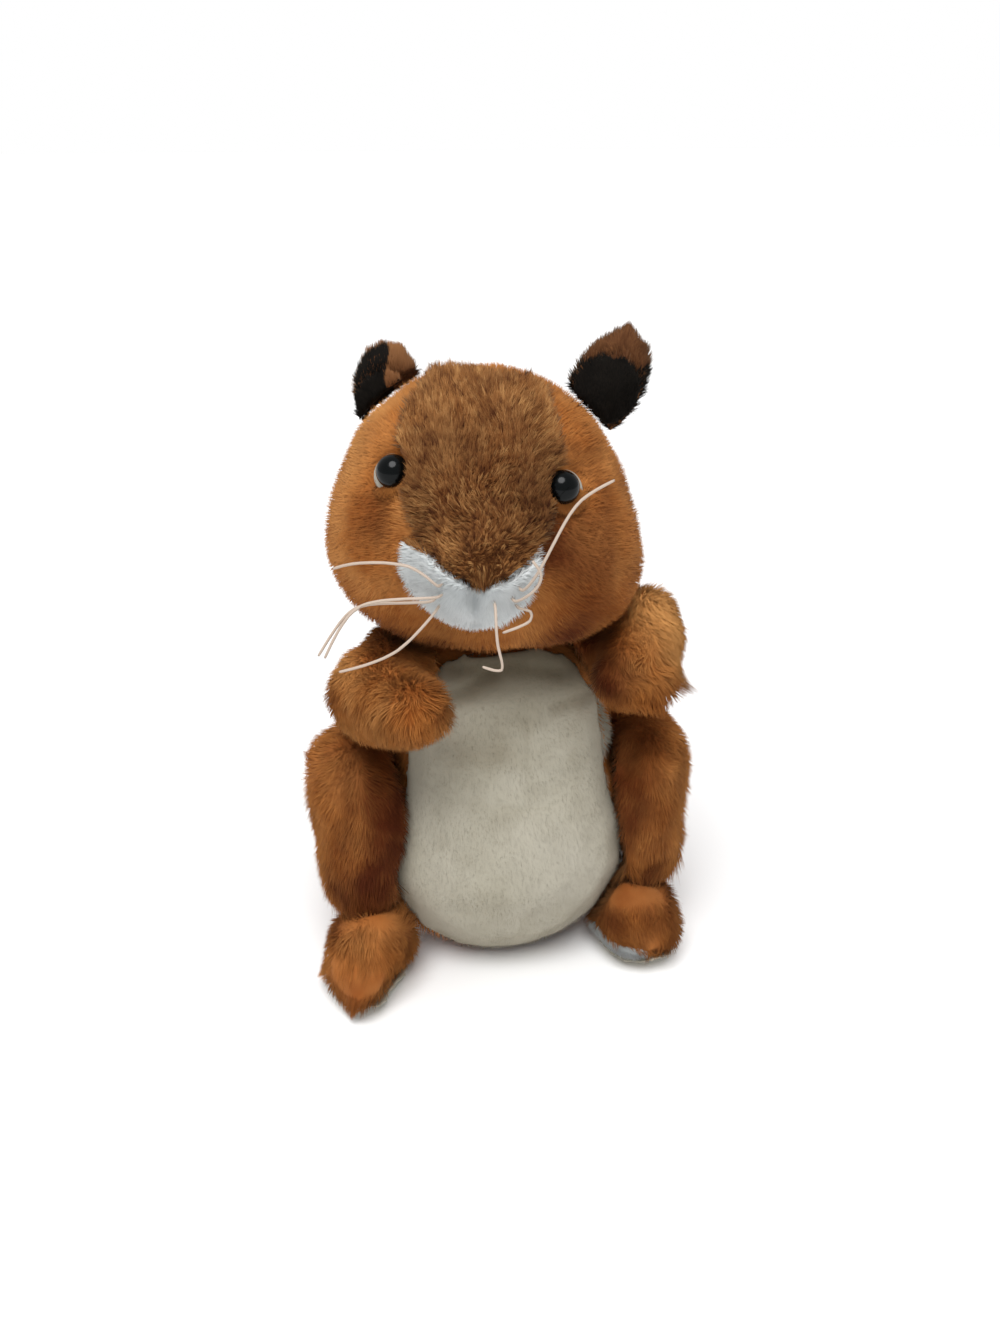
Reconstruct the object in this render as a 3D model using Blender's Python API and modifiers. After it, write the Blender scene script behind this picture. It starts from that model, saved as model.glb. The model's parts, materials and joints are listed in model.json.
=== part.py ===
"""A sitting plush squirrel, built as the pieces that it is sewn and fitted from.

Every stuffed piece is a cage of squares pulled out to the skin of a few egg-shaped lobes that
flow into each other. Panels of another plush are let into that skin. Lengths are in metres and
angles in degrees. +Z is up, the squirrel faces -Y and sits on Z = 0.
"""

import math

import bmesh
import bpy
import numpy as np
from mathutils import Matrix, Vector

MM = 0.001
RIGHT, LEFT = -1, 1  # the squirrel's own right side lies on -X

# General fit
GAP = 0.0003  # clearance between two pieces that touch
PANEL_DEPTH = 0.0020  # how deep a sewn panel is let into the piece under it
CUTTER_REACH = 0.0040  # how far a recess cutter stands out of the skin
LOBE_BLEND = 0.0030  # how softly two lobes of one piece flow together
BODY_BLEND = 0.0070

# Body: a pear of two lobes with a flat seat
HIPS_WIDTH = 0.096
HIPS_DEPTH = 0.076
HIPS_HEIGHT = 0.088
HIPS_FORWARD = 0.004
SEAT_FLATTENED = 0.005
CHEST_WIDTH = 0.078
CHEST_DEPTH = 0.062
CHEST_HEIGHT = 0.084
CHEST_RISE = 0.046

# Belly panel on the front of the body
BELLY_TOP = 76.0
BELLY_SHOULDER = 56.0
BELLY_SHOULDER_WIDTH = 64.0
BELLY_WAIST_WIDTH = 61.0
BELLY_LOW = -32.0
BELLY_LOW_WIDTH = 65.0
BELLY_BOTTOM = -69.0

# Head: a skull, two low cheeks and a short snout
HEAD_YAW = 12.0  # the face turns to the squirrel's right
HEAD_PITCH = 14.0  # and looks up a little
HEAD_ROLL = 3.5  # and leans to the squirrel's left
HEAD_SINK = 0.0105  # how far the head's form reaches into the neck
HEAD_SHIFT = -0.0035  # sideways, from the body's middle
HEAD_FORWARD = 0.006
SKULL_WIDTH = 0.0930
SKULL_ASIDE = 0.0030  # the crown is stuffed fuller on the squirrel's right
SKULL_HEIGHT = 0.091
SKULL_DEPTH = 0.088
CHEEK_WIDTH = 0.056
CHEEK_HEIGHT = 0.054
CHEEK_DEPTH = 0.060
CHEEK_SPREAD = 0.0225
CHEEK_DROP = 0.013
CHEEK_FORWARD = 0.004
SNOUT_WIDTH = 0.040
SNOUT_HEIGHT = 0.034
SNOUT_DEPTH = 0.044
SNOUT_DROP = 0.012
SNOUT_FORWARD = 0.028

# Blaze of mottled plush, from the crown down to the nose tip
BLAZE_CROWN = 67.0
BLAZE_CROWN_WIDTH = 50.0
BLAZE_TOP = 55.0
BLAZE_TOP_WIDTH = 43.0
BLAZE_BROW = 24.0
BLAZE_BROW_WIDTH = 35.0
BLAZE_CHEEK = -8.0
BLAZE_CHEEK_WIDTH = 22.0
BLAZE_TIP = -20.5
BLAZE_PROUD = 0.0006
NOSE_SHIFT = 3.0  # the nose tip is sewn on a little to the squirrel's left
CROWN_SHIFT = 6.0  # and the blaze's upper end a little to its right

# White muzzle under it
MUZZLE_SLIM = 0.85  # it is sewn narrower on the squirrel's left
MUZZLE_FULL = 1.16  # and wider on its right
MUZZLE_TOP = -10.0
MUZZLE_TOP_WIDTH = 25.5
MUZZLE_MIDDLE = -21.0
MUZZLE_MIDDLE_WIDTH = 24.0
MUZZLE_BOTTOM = -43.0
MUZZLE_PROUD = 0.0010
CLEFT_WIDTH = 1.6
CLEFT_DEPTH = 0.0014

# Safety eyes: a domed button with a stem, a felt white behind it and a lock washer inside
EYE_RADIUS = 0.0050
EYE_HEIGHT = 0.0046
EYE_SINK = 0.0028  # from the skin down to the socket's floor
EYE_LONS = {RIGHT: -37.5, LEFT: 33.5}
EYE_LAT = 15.0
STEM_RADIUS = 0.0015
STEM_LENGTH = 0.0110
WHITE_RADIUS = 0.0060
WHITE_THICKNESS = 0.0010
WHITE_OUTWARD = 0.0018
WASHER_RADIUS = 0.0048
WASHER_THICKNESS = 0.0012
WASHER_DEPTH = 0.0070  # washer's outer face below the socket's floor

# Ears: flat leaves with a tufted tip, lined in front
EAR_WIDTH = 0.0245
EAR_HEIGHT = 0.032
EAR_THICKNESS = 0.009
EAR_TIP_WIDTH = 0.0165
EAR_TIP_HEIGHT = 0.020
EAR_TIP_RISE = 0.011
LINING_WIDTH = 78.0
LINING_HEIGHT = 82.0
LINING_DEPTH = 0.0012
# (longitude and latitude on the head, height of the ear's middle above the skin, lean)
EAR_SEATS = {RIGHT: (-97.0, 40.0, -0.0042, 3.0), LEFT: (94.0, 50.0, 0.0062, 28.0)}

# Arms raised to the chest: the shoulder's place on the body, then the way to elbow and paw
SHOULDER_SIZE = (0.032, 0.038, 0.034)
ELBOW_SIZE = (0.031, 0.034, 0.032)
FOREARM_SIZE = (0.027, 0.027, 0.032)
PAW_SIZE = (0.026, 0.024, 0.025)
ARM_SEATS = {
    RIGHT: {"on_body": (-80.0, 57.0), "elbow": (-13, -4, 15), "paw": (11, 9, 28)},
    LEFT: {"on_body": (84.0, 64.0), "elbow": (20, 3, 9), "paw": (-11, -5, 21)},
}

# Legs: folded haunches beside the hips
HAUNCH_WIDTH = 0.038
HAUNCH_DEPTH = 0.064
HAUNCH_HEIGHT = 0.062
HAUNCH_OUT = 0.002
THIGH_SIZE = (0.030, 0.036, 0.046)
THIGH_RISE = 0.013
THIGH_OUT = 0.005
SHIN_SIZE = (0.031, 0.030, 0.038)
SHIN_DROP = 0.021
SHIN_OUT = 0.003
SHIN_FORWARD = 0.008
LEG_SEATS = {RIGHT: (-82.0, -8.0), LEFT: (86.0, -9.0)}

# Feet: under the front of the haunches
FOOT_WIDTH = 0.033
FOOT_HEIGHT = 0.033
FOOT_LENGTH = 0.044
TOE_SIZE = (0.028, 0.023, 0.026)
TOE_FORWARD = 0.013
FOOT_FLATTENED = 0.003
FOOT_TURNOUT = 13.0
FOOT_SEATS = {RIGHT: (0.001, 0.021), LEFT: (-0.003, 0.016)}  # outward and forward of the leg
SOLE_WIDTH = 52.0
SOLE_LENGTH = 58.0
SOLE_TIP = 18.0  # how far the sole's middle rises to the front
SOLE_INWARD = 10.0

# Tail: a bush that climbs the back and curls away at its tip
TAIL_WIDTH = 0.046
TAIL_HEIGHT = 0.092
TAIL_DEPTH = 0.032
TAIL_BASE_SIZE = (0.030, 0.044, 0.034)
TAIL_BASE_DROP = 0.042
TAIL_TOP_SIZE = (0.052, 0.062, 0.044)
TAIL_TOP_RISE = 0.044
TAIL_TIP_SIZE = (0.040, 0.036, 0.038)
TAIL_TIP_RISE = 0.062
TAIL_TIP_BACK = 0.009
TAIL_HEART = 0.067  # above the floor
TAIL_SINK = 0.002

# Whiskers: (root on the head, then points from the root: sideways, up and forward, in mm)
WHISKER_RADIUS = 0.00045
WHISKER_ROOT = 0.0014
WHISKER_OUT = 0.002  # it leaves the muzzle straight for this far
WHISKER_LONG_STEP = 0.0045  # a longer step between two points gets one more between them
WHISKERS = {
    "right_1": ((-11, -20), [(-9, 5, 3), (-24, 4, -1), (-32, 1, -6)]),
    "right_2": ((-11, -23.5), [(-11, -2, 3), (-23, -5, 1), (-29, -13, 0), (-33, -22, -2)]),
    "right_3": ((-14, -26), [(-10, -2, 3), (-22, -4, 2), (-28, -11, 1), (-33, -20, 0)]),
    "right_4": ((-13, -29), [(-4, -6, 3), (-11, -14, 3), (-20, -19, 2), (-28, -22, 1)]),
    "left_1": ((15, -20), [(5, 5, 4), (10, 17, 4), (15, 26, 2), (24, 32, 0)]),
    "left_2": ((13, -23.5), [(6, 3, 6), (8, 8, 8), (5, 12, 9)]),
    "left_3": ((15, -26.5), [(5, -1, 3), (5, -4, 4), (-3, -8, 4)]),
    "left_4": ((7, -25), [(1, -5, 3), (2, -12, 3), (4, -19, 2), (-2, -18, 3)]),
}

# How finely each form is cut into squares along a cube's edge
HEAD_SQUARES = 10
BODY_SQUARES = 8
ARM_SQUARES = 7
LEG_SQUARES = 6
TAIL_SQUARES = 7
FOOT_SQUARES = 5
EAR_SQUARES = 4
ROUND_STEPS = 12  # sides of a turned piece

FORWARD_AXES = np.array([(1, 0, 0), (0, 0, -1), (0, 1, 0)], float)  # right, up, front in columns

COLOURS = {  # base colour, roughness
    "plush_brown": ((0.34, 0.14, 0.045), 0.95),
    "plush_mottled": ((0.22, 0.11, 0.05), 0.95),
    "plush_white": ((0.62, 0.62, 0.60), 0.95),
    "plush_cream": ((0.42, 0.38, 0.30), 0.95),
    "plush_black": ((0.012, 0.010, 0.008), 0.95),
    "felt_white": ((0.70, 0.68, 0.62), 0.9),
    "eye_plastic": ((0.006, 0.004, 0.003), 0.08),
    "washer_plastic": ((0.75, 0.75, 0.72), 0.4),
    "filament": ((0.70, 0.64, 0.50), 0.45),
}


def unit(vectors):
    return vectors / np.linalg.norm(vectors, axis=-1, keepdims=True)


def turned_axes(yaw=0.0, pitch=0.0, roll=0.0):
    """Right, up and front axes of a piece that faces -Y, then turns, looks up and leans."""
    yaw, pitch, roll = (math.radians(angle) for angle in (yaw, pitch, roll))
    turn = Matrix.Rotation(-yaw, 3, "Z") @ Matrix.Rotation(-pitch, 3, "X") @ Matrix.Rotation(roll, 3, "Y")
    return np.array(turn) @ FORWARD_AXES


def sight(axes, lon, lat):
    """The direction that a longitude and latitude name about a piece's front."""
    lon, lat = np.radians(lon), np.radians(lat)
    local = np.stack([np.sin(lon) * np.cos(lat), np.sin(lat), np.cos(lon) * np.cos(lat)], axis=-1)
    return local @ axes.T


class Form:
    """A stuffed shape: egg-shaped lobes about a heart, with right, up and front axes."""

    def __init__(self, heart, axes=FORWARD_AXES, floor=None, blend=LOBE_BLEND):
        self.heart = np.array(heart, float)
        self.axes = axes
        self.floor = floor
        self.blend = blend
        self.lobes = []

    def lobe(self, at, size):
        self.lobes.append((np.array(at, float), np.array(size, float) / 2))
        return self

    def skin(self, points):
        """About the distance of each point from the skin, below zero inside."""
        local = (points - self.heart) @ self.axes
        near = []
        for at, half in self.lobes:
            spread = np.linalg.norm((local - at) / half, axis=-1)
            slope = np.linalg.norm((local - at) / half**2, axis=-1)
            near.append(spread * (spread - 1) / np.maximum(slope, 1e-9))
        near = np.array(near)
        least = near.min(axis=0)
        depth = least - self.blend * np.log(np.exp((least - near) / self.blend).sum(axis=0))
        if self.floor is not None:
            depth = np.maximum(depth, self.floor - points[..., 2])
        return depth

    def reach(self, rays, lift=0.0):
        """How far each ray from the heart runs before it leaves the skin for good."""
        steps = np.linspace(0, 0.12, 161)
        spots = self.heart + rays[:, None, :] * steps[None, :, None]
        inside = self.skin(spots) < lift
        last = len(steps) - 1 - np.argmax(inside[:, ::-1], axis=1)
        near, far = steps[last], steps[np.minimum(last + 1, len(steps) - 1)]
        for _ in range(30):
            middle = (near + far) / 2
            within = self.skin(self.heart + rays * middle[:, None]) < lift
            near, far = np.where(within, middle, near), np.where(within, far, middle)
        return near

    def point(self, lon, lat, lift=0.0):
        ray = sight(self.axes, lon, lat)
        return self.heart + ray * self.reach(ray[None, :], lift)[0]

    def outward(self, point):
        """The skin's normal at a point."""
        step = 0.05 * MM
        shifts = np.eye(3) * step
        return unit(self.skin(point + shifts) - self.skin(point - shifts))


def new_collection(name):
    made = bpy.data.collections.new(name)
    bpy.context.scene.collection.children.link(made)
    return made


def material(name):
    found = bpy.data.materials.get(name)
    if found:
        return found
    colour, roughness = COLOURS[name]
    made = bpy.data.materials.new(name)
    made.use_nodes = True
    made.diffuse_color = (*colour, 1)
    shader = made.node_tree.nodes["Principled BSDF"]
    shader.inputs["Base Color"].default_value = (*colour, 1)
    shader.inputs["Roughness"].default_value = roughness
    shader.inputs["Metallic"].default_value = 0.0
    return made


def add(name, data, look=None, place=None):
    """Puts a piece among the parts, or a shape without a look among the cutters."""
    piece = bpy.data.objects.new(name, data)
    if look:
        data.materials.append(material(look))
        parts.objects.link(piece)
        piece.parent = squirrel
    else:
        cutters.objects.link(piece)
        piece.hide_render = True
        piece.display_type = "WIRE"
    if place is not None:
        piece.matrix_world = place
    return piece


def finish_mesh(name, shape):
    bmesh.ops.recalc_face_normals(shape, faces=shape.faces[:])
    bmesh.ops.triangulate(shape, faces=shape.faces[:], quad_method="FIXED")  # cutter and piece alike
    data = bpy.data.meshes.new(name)
    shape.to_mesh(data)
    shape.free()
    data.shade_smooth()
    return data


def plump(name, form, squares, look=None, stretch=(1, 1, 1), lift=0.0):
    """A cube cut into squares, each corner pulled out to the form's skin."""
    shape = bmesh.new()
    bmesh.ops.create_cube(shape, size=2.0)
    bmesh.ops.subdivide_edges(shape, edges=shape.edges[:], cuts=squares - 1, use_grid_fill=True)
    corners = np.array([vert.co for vert in shape.verts])
    rays = unit(np.tan(corners * math.pi / 4) * np.array(stretch)) @ form.axes.T
    offsets = rays * form.reach(rays, lift)[:, None]
    for vert, offset in zip(shape.verts, offsets):
        vert.co = offset
    return add(name, finish_mesh(name, shape), look, Matrix.Translation(form.heart))


def smooth_loop(points, count):
    """A closed smooth curve through the points, read at evenly spaced places."""
    points = np.array(points, float)
    before, after, beyond = (np.roll(points, shift, axis=0) for shift in (1, -1, -2))
    t = np.linspace(0, 1, 24, endpoint=False)[None, :, None]
    a, b, c, d = (p[:, None, :] for p in (before, points, after, beyond))
    curve = b + 0.5 * t * (c - a + t * (2 * a - 5 * b + 4 * c - d + t * (3 * (b - c) + d - a)))
    curve = curve.reshape(-1, 2)
    closed = np.vstack([curve, curve[:1]])
    along = np.concatenate([[0], np.cumsum(np.linalg.norm(np.diff(closed, axis=0), axis=1))])
    wanted = np.linspace(0, along[-1], count, endpoint=False)
    return np.stack([np.interp(wanted, along, closed[:, axis]) for axis in (0, 1)], axis=1)


def askew(outline):
    """An outline with its nose tip moved to the squirrel's left, and its upper end to the right."""
    return [
        (lon + NOSE_SHIFT * lat / BLAZE_TIP if lat < 0 else lon - CROWN_SHIFT * lat / BLAZE_TOP, lat)
        for lon, lat in outline
    ]


def mirrored(half):
    """A closed outline from its right half, listed from the top middle to the bottom middle."""
    other = [(-lon, lat) for lon, lat in reversed(half) if abs(lon) > 0.01]
    return half + other


def panel(name, form, outline, outer, inner, look=None, spread=0.0, rings=3, count=24, axes=None):
    """A patch that follows the skin from one depth to another, inside a smooth outline."""
    axes = form.axes if axes is None else axes
    edge = smooth_loop(outline, count)
    middle = edge.mean(axis=0)
    rim = edge
    if spread:
        run = np.roll(edge, -1, axis=0) - np.roll(edge, 1, axis=0)
        away = unit(np.stack([run[:, 1], -run[:, 0]], axis=1))
        away *= np.sign(np.sum(away * (edge - middle)))
        radius = form.reach(sight(axes, edge[:, 0], edge[:, 1]))
        away[:, 0] /= np.cos(np.radians(edge[:, 1]))
        rim = edge + away * np.degrees(spread / radius)[:, None]
    shape = bmesh.new()
    sheets = []
    for lift in (outer, inner):
        sheet = []
        for ring in range(rings + 1):
            spots = middle + (edge - middle) * ring / rings if ring else middle[None, :]
            spots = rim if ring == rings else spots
            rays = sight(axes, spots[:, 0], spots[:, 1])
            offsets = rays * form.reach(rays, lift)[:, None]
            sheet.append([shape.verts.new(offset) for offset in offsets])
        sheets.append(sheet)
    for sheet in sheets:
        for i in range(count):
            j = (i + 1) % count
            shape.faces.new((sheet[0][0], sheet[1][i], sheet[1][j]))
            for ring in range(1, rings):
                inside, outside = sheet[ring], sheet[ring + 1]
                shape.faces.new((inside[i], outside[i], outside[j], inside[j]))
    for i in range(count):
        j = (i + 1) % count
        top, bottom = sheets[0][rings], sheets[1][rings]
        shape.faces.new((top[i], bottom[i], bottom[j], top[j]))
    return add(name, finish_mesh(name, shape), look, Matrix.Translation(form.heart))


def turned(name, profile, place, look=None, steps=ROUND_STEPS, closed=False):
    """A profile of (radius, height) turned about its own Z axis."""
    data = bpy.data.meshes.new(name)
    edges = [(i, i + 1) for i in range(len(profile) - 1)]
    if closed:
        edges.append((len(profile) - 1, 0))
    data.from_pydata([(radius, 0, height) for radius, height in profile], edges, [])
    piece = add(name, data, look, place)
    screw = piece.modifiers.new("turn", "SCREW")
    screw.steps = screw.render_steps = steps
    screw.use_merge_vertices = True
    screw.merge_threshold = 0.00001
    screw.use_smooth_shade = True
    return piece


def rod(radius, low, high):
    return [(0, high), (radius, high), (radius, low), (0, low)]


def cut(piece, *tools):
    for tool in tools:
        made = piece.modifiers.new(tool.name, "BOOLEAN")
        made.operation = "DIFFERENCE"
        made.solver = "EXACT"
        made.object = tool


def standing_on(point, normal, toward):
    """A place whose Z leaves the skin and whose X leans toward a direction."""
    z = Vector(normal).normalized()
    x = Vector(toward) - z * Vector(toward).dot(z)
    x.normalize()
    place = Matrix((x, z.cross(x), z)).transposed().to_4x4()
    place.translation = Vector(point)
    return place


def side_name(side):
    return "right" if side == RIGHT else "left"


for old in list(bpy.data.objects):
    bpy.data.objects.remove(old)
parts = new_collection("plush_squirrel")
cutters = new_collection("cutters")
squirrel = bpy.data.objects.new("squirrel_origin", None)
parts.objects.link(squirrel)

# Body
hips_middle = HIPS_HEIGHT / 2 - SEAT_FLATTENED
body_form = Form((0, 0, hips_middle + CHEST_RISE / 2), floor=0.0, blend=BODY_BLEND)
body_form.lobe((0, -CHEST_RISE / 2, HIPS_FORWARD), (HIPS_WIDTH, HIPS_HEIGHT, HIPS_DEPTH))
body_form.lobe((0, CHEST_RISE / 2, 0), (CHEST_WIDTH, CHEST_HEIGHT, CHEST_DEPTH))
body_stretch = (1, 1.3, 1)
body = plump("body", body_form, BODY_SQUARES, "plush_brown", body_stretch)
body_mould = plump("body_mould", body_form, BODY_SQUARES, None, body_stretch, GAP)

# Head, seated on the neck
head_axes = turned_axes(HEAD_YAW, HEAD_PITCH, HEAD_ROLL)


def head_at(heart):
    form = Form(heart, head_axes)
    form.lobe((-SKULL_ASIDE, 0, 0), (SKULL_WIDTH, SKULL_HEIGHT, SKULL_DEPTH))
    for side in (RIGHT, LEFT):
        form.lobe(
            (side * CHEEK_SPREAD, -CHEEK_DROP, CHEEK_FORWARD), (CHEEK_WIDTH, CHEEK_HEIGHT, CHEEK_DEPTH)
        )
    form.lobe((0, -SNOUT_DROP, SNOUT_FORWARD), (SNOUT_WIDTH, SNOUT_HEIGHT, SNOUT_DEPTH))
    return form


neck_top = body_form.heart[2] + body_form.reach(np.array([(0.0, 0.0, 1.0)]))[0]
head_below = head_at((0, 0, 0)).reach(np.array([(0.0, 0.0, -1.0)]))[0]
head_form = head_at((HEAD_SHIFT, -HEAD_FORWARD, neck_top + head_below - HEAD_SINK))
head = plump("head", head_form, HEAD_SQUARES, "plush_brown")
head_mould = plump("head_mould", head_form, HEAD_SQUARES, lift=GAP)
cut(body, head_mould)

# Belly panel
belly_outline = mirrored(
    [
        (0, BELLY_TOP),
        (BELLY_SHOULDER_WIDTH * 0.6, BELLY_TOP * 0.93),
        (BELLY_SHOULDER_WIDTH, BELLY_SHOULDER),
        (BELLY_WAIST_WIDTH, 0),
        (BELLY_LOW_WIDTH, BELLY_LOW),
        (BELLY_LOW_WIDTH * 0.55, BELLY_BOTTOM * 0.93),
        (0, BELLY_BOTTOM),
    ]
)
belly = panel("belly_panel", body_form, belly_outline, 0, -PANEL_DEPTH, "plush_cream", rings=4)
belly_recess = panel(
    "belly_recess", body_form, belly_outline, CUTTER_REACH, -PANEL_DEPTH - GAP, spread=GAP, rings=4
)
belly_mould = panel("belly_mould", body_form, belly_outline, GAP, -PANEL_DEPTH, spread=GAP, rings=4)
cut(body, belly_recess)
cut(belly, head_mould)

# Blaze and muzzle
blaze_outline = mirrored(
    [
        (0, BLAZE_CROWN),
        (BLAZE_CROWN_WIDTH * 0.6, BLAZE_CROWN * 0.98),
        (BLAZE_CROWN_WIDTH, BLAZE_CROWN * 0.9),
        (BLAZE_TOP_WIDTH, BLAZE_TOP),
        (BLAZE_BROW_WIDTH, BLAZE_BROW),
        (BLAZE_CHEEK_WIDTH, BLAZE_CHEEK),
        (BLAZE_CHEEK_WIDTH * 0.5, (BLAZE_CHEEK + BLAZE_TIP) / 2 - 2),
        (0, BLAZE_TIP),
    ]
)
blaze_outline = askew(blaze_outline)
blaze = panel(
    "face_blaze", head_form, blaze_outline, BLAZE_PROUD, -PANEL_DEPTH, "plush_mottled", rings=4
)
blaze_recess = panel(
    "blaze_recess", head_form, blaze_outline, CUTTER_REACH, -PANEL_DEPTH - GAP, spread=GAP, rings=4
)
muzzle_outline = mirrored(
    [
        (0, MUZZLE_TOP),
        (MUZZLE_TOP_WIDTH, MUZZLE_TOP),
        (MUZZLE_MIDDLE_WIDTH, MUZZLE_MIDDLE),
        (MUZZLE_MIDDLE_WIDTH * 0.62, MUZZLE_BOTTOM * 0.84),
        (0, MUZZLE_BOTTOM),
    ]
)
muzzle_outline = [(lon * (MUZZLE_SLIM if lon > 0 else MUZZLE_FULL), lat) for lon, lat in muzzle_outline]
muzzle = panel("muzzle", head_form, muzzle_outline, MUZZLE_PROUD, -PANEL_DEPTH, "plush_white")
muzzle_recess = panel(
    "muzzle_recess", head_form, muzzle_outline, CUTTER_REACH, -PANEL_DEPTH - GAP, spread=GAP
)
cleft_outline = mirrored(
    [
        (0, BLAZE_TIP + 2),
        (CLEFT_WIDTH, BLAZE_TIP),
        (CLEFT_WIDTH * 0.7, (BLAZE_TIP + MUZZLE_BOTTOM) / 2),
        (CLEFT_WIDTH, MUZZLE_BOTTOM - 1),
        (0, MUZZLE_BOTTOM - 3),
    ]
)
cleft_floor = MUZZLE_PROUD - CLEFT_DEPTH
cleft = panel("cleft", head_form, cleft_outline, CUTTER_REACH, cleft_floor, rings=1, count=16)
cut(head, muzzle_recess, blaze_recess)
cut(muzzle, blaze_recess, cleft)

# Eyes
for side in (RIGHT, LEFT):
    at = head_form.point(EYE_LONS[side], EYE_LAT)
    facing = head_form.outward(at)
    seat = standing_on(at - facing * EYE_SINK, facing, head_axes[:, 0] * side)
    white_seat = seat @ Matrix.Translation((WHITE_OUTWARD, 0, 0))
    label = side_name(side)
    base = WHITE_THICKNESS + GAP
    arc = [math.radians(angle) for angle in range(90, -1, -30)]
    dome = [(EYE_RADIUS * math.cos(a), base + EYE_HEIGHT * math.sin(a)) for a in arc]
    dome[0] = (0, base + EYE_HEIGHT)
    stem = [(STEM_RADIUS, base), (STEM_RADIUS, base - STEM_LENGTH), (0, base - STEM_LENGTH)]
    turned(f"eye_{label}", dome + stem, seat, "eye_plastic")
    rounding = WHITE_THICKNESS * 0.4
    white = turned(
        f"eye_white_{label}",
        [
            (0, WHITE_THICKNESS),
            (WHITE_RADIUS - rounding, WHITE_THICKNESS),
            (WHITE_RADIUS, WHITE_THICKNESS / 2),
            (WHITE_RADIUS - rounding, 0),
            (0, 0),
        ],
        white_seat,
        "felt_white",
    )
    washer_low = -WASHER_DEPTH - WASHER_THICKNESS
    bore = STEM_RADIUS + GAP
    washer_ring = [(bore, -WASHER_DEPTH), (WASHER_RADIUS, -WASHER_DEPTH)]
    washer_ring += [(WASHER_RADIUS, washer_low), (bore, washer_low)]
    turned(f"eye_washer_{label}", washer_ring, seat, "washer_plastic", closed=True)
    stem_hole = turned(f"stem_hole_{label}", rod(bore, -STEM_LENGTH, WHITE_THICKNESS * 3), seat)
    pocket_low, pocket_high = -STEM_LENGTH - GAP, -WASHER_DEPTH + GAP
    pocket = turned(
        f"washer_pocket_{label}",
        [
            (0, 0),
            (bore, 0),
            (bore, pocket_high),
            (WASHER_RADIUS + GAP, pocket_high),
            (WASHER_RADIUS + GAP, pocket_low),
            (0, pocket_low),
        ],
        seat,
    )
    socket = turned(
        f"white_socket_{label}", rod(WHITE_RADIUS + GAP, -GAP, EYE_SINK + CUTTER_REACH), white_seat
    )
    dome_socket = turned(
        f"dome_socket_{label}", rod(EYE_RADIUS + GAP, base - GAP, EYE_SINK + CUTTER_REACH * 1.5), seat
    )
    cut(white, stem_hole)
    cut(head, socket, dome_socket, pocket)
    cut(blaze, socket, dome_socket)

# Ears
for side in (RIGHT, LEFT):
    lon, lat, height, lean = EAR_SEATS[side]
    foot = head_form.point(lon, lat)
    away = head_form.outward(foot)
    label = side_name(side)
    ear_form = Form(foot + away * height, turned_axes(HEAD_YAW * 0.5, 0, side * lean))
    ear_form.lobe((0, 0, 0), (EAR_WIDTH, EAR_HEIGHT, EAR_THICKNESS))
    ear_form.lobe((0, EAR_TIP_RISE, 0), (EAR_TIP_WIDTH, EAR_TIP_HEIGHT, EAR_THICKNESS * 0.8))
    ear = plump(f"ear_{label}", ear_form, EAR_SQUARES, "plush_brown", (1, 1.4, 0.45))
    lining_outline = mirrored(
        [
            (0, LINING_HEIGHT * 0.88),
            (LINING_WIDTH * 0.8, LINING_HEIGHT * 0.6),
            (LINING_WIDTH, -LINING_HEIGHT * 0.1),
            (LINING_WIDTH * 0.7, -LINING_HEIGHT * 0.7),
            (0, -LINING_HEIGHT),
        ]
    )
    coarse = {"rings": 2, "count": 16}
    lining = panel(
        f"ear_lining_{label}", ear_form, lining_outline, 0.0, -LINING_DEPTH, "plush_black", **coarse
    )
    ear_recess = panel(
        f"ear_recess_{label}",
        ear_form,
        lining_outline,
        CUTTER_REACH / 2,
        -LINING_DEPTH - GAP,
        spread=GAP,
        **coarse,
    )
    cut(ear, ear_recess, head_mould)
    cut(lining, head_mould)

# Arms
for side in (RIGHT, LEFT):
    pose = ARM_SEATS[side]
    label = side_name(side)
    shoulder = body_form.point(*pose["on_body"])
    to_elbow = np.array(pose["elbow"]) * MM
    to_paw = np.array(pose["paw"]) * MM
    arm_form = Form(shoulder + FORWARD_AXES @ to_elbow)
    arm_form.lobe(-to_elbow, SHOULDER_SIZE)
    arm_form.lobe((0, 0, 0), ELBOW_SIZE)
    arm_form.lobe(to_paw * 0.5, FOREARM_SIZE)
    arm_form.lobe(to_paw, PAW_SIZE)
    arm = plump(f"arm_{label}", arm_form, ARM_SQUARES, "plush_brown", (1, 1, 1.4))
    cut(arm, body_mould, belly_mould, head_mould)

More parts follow.
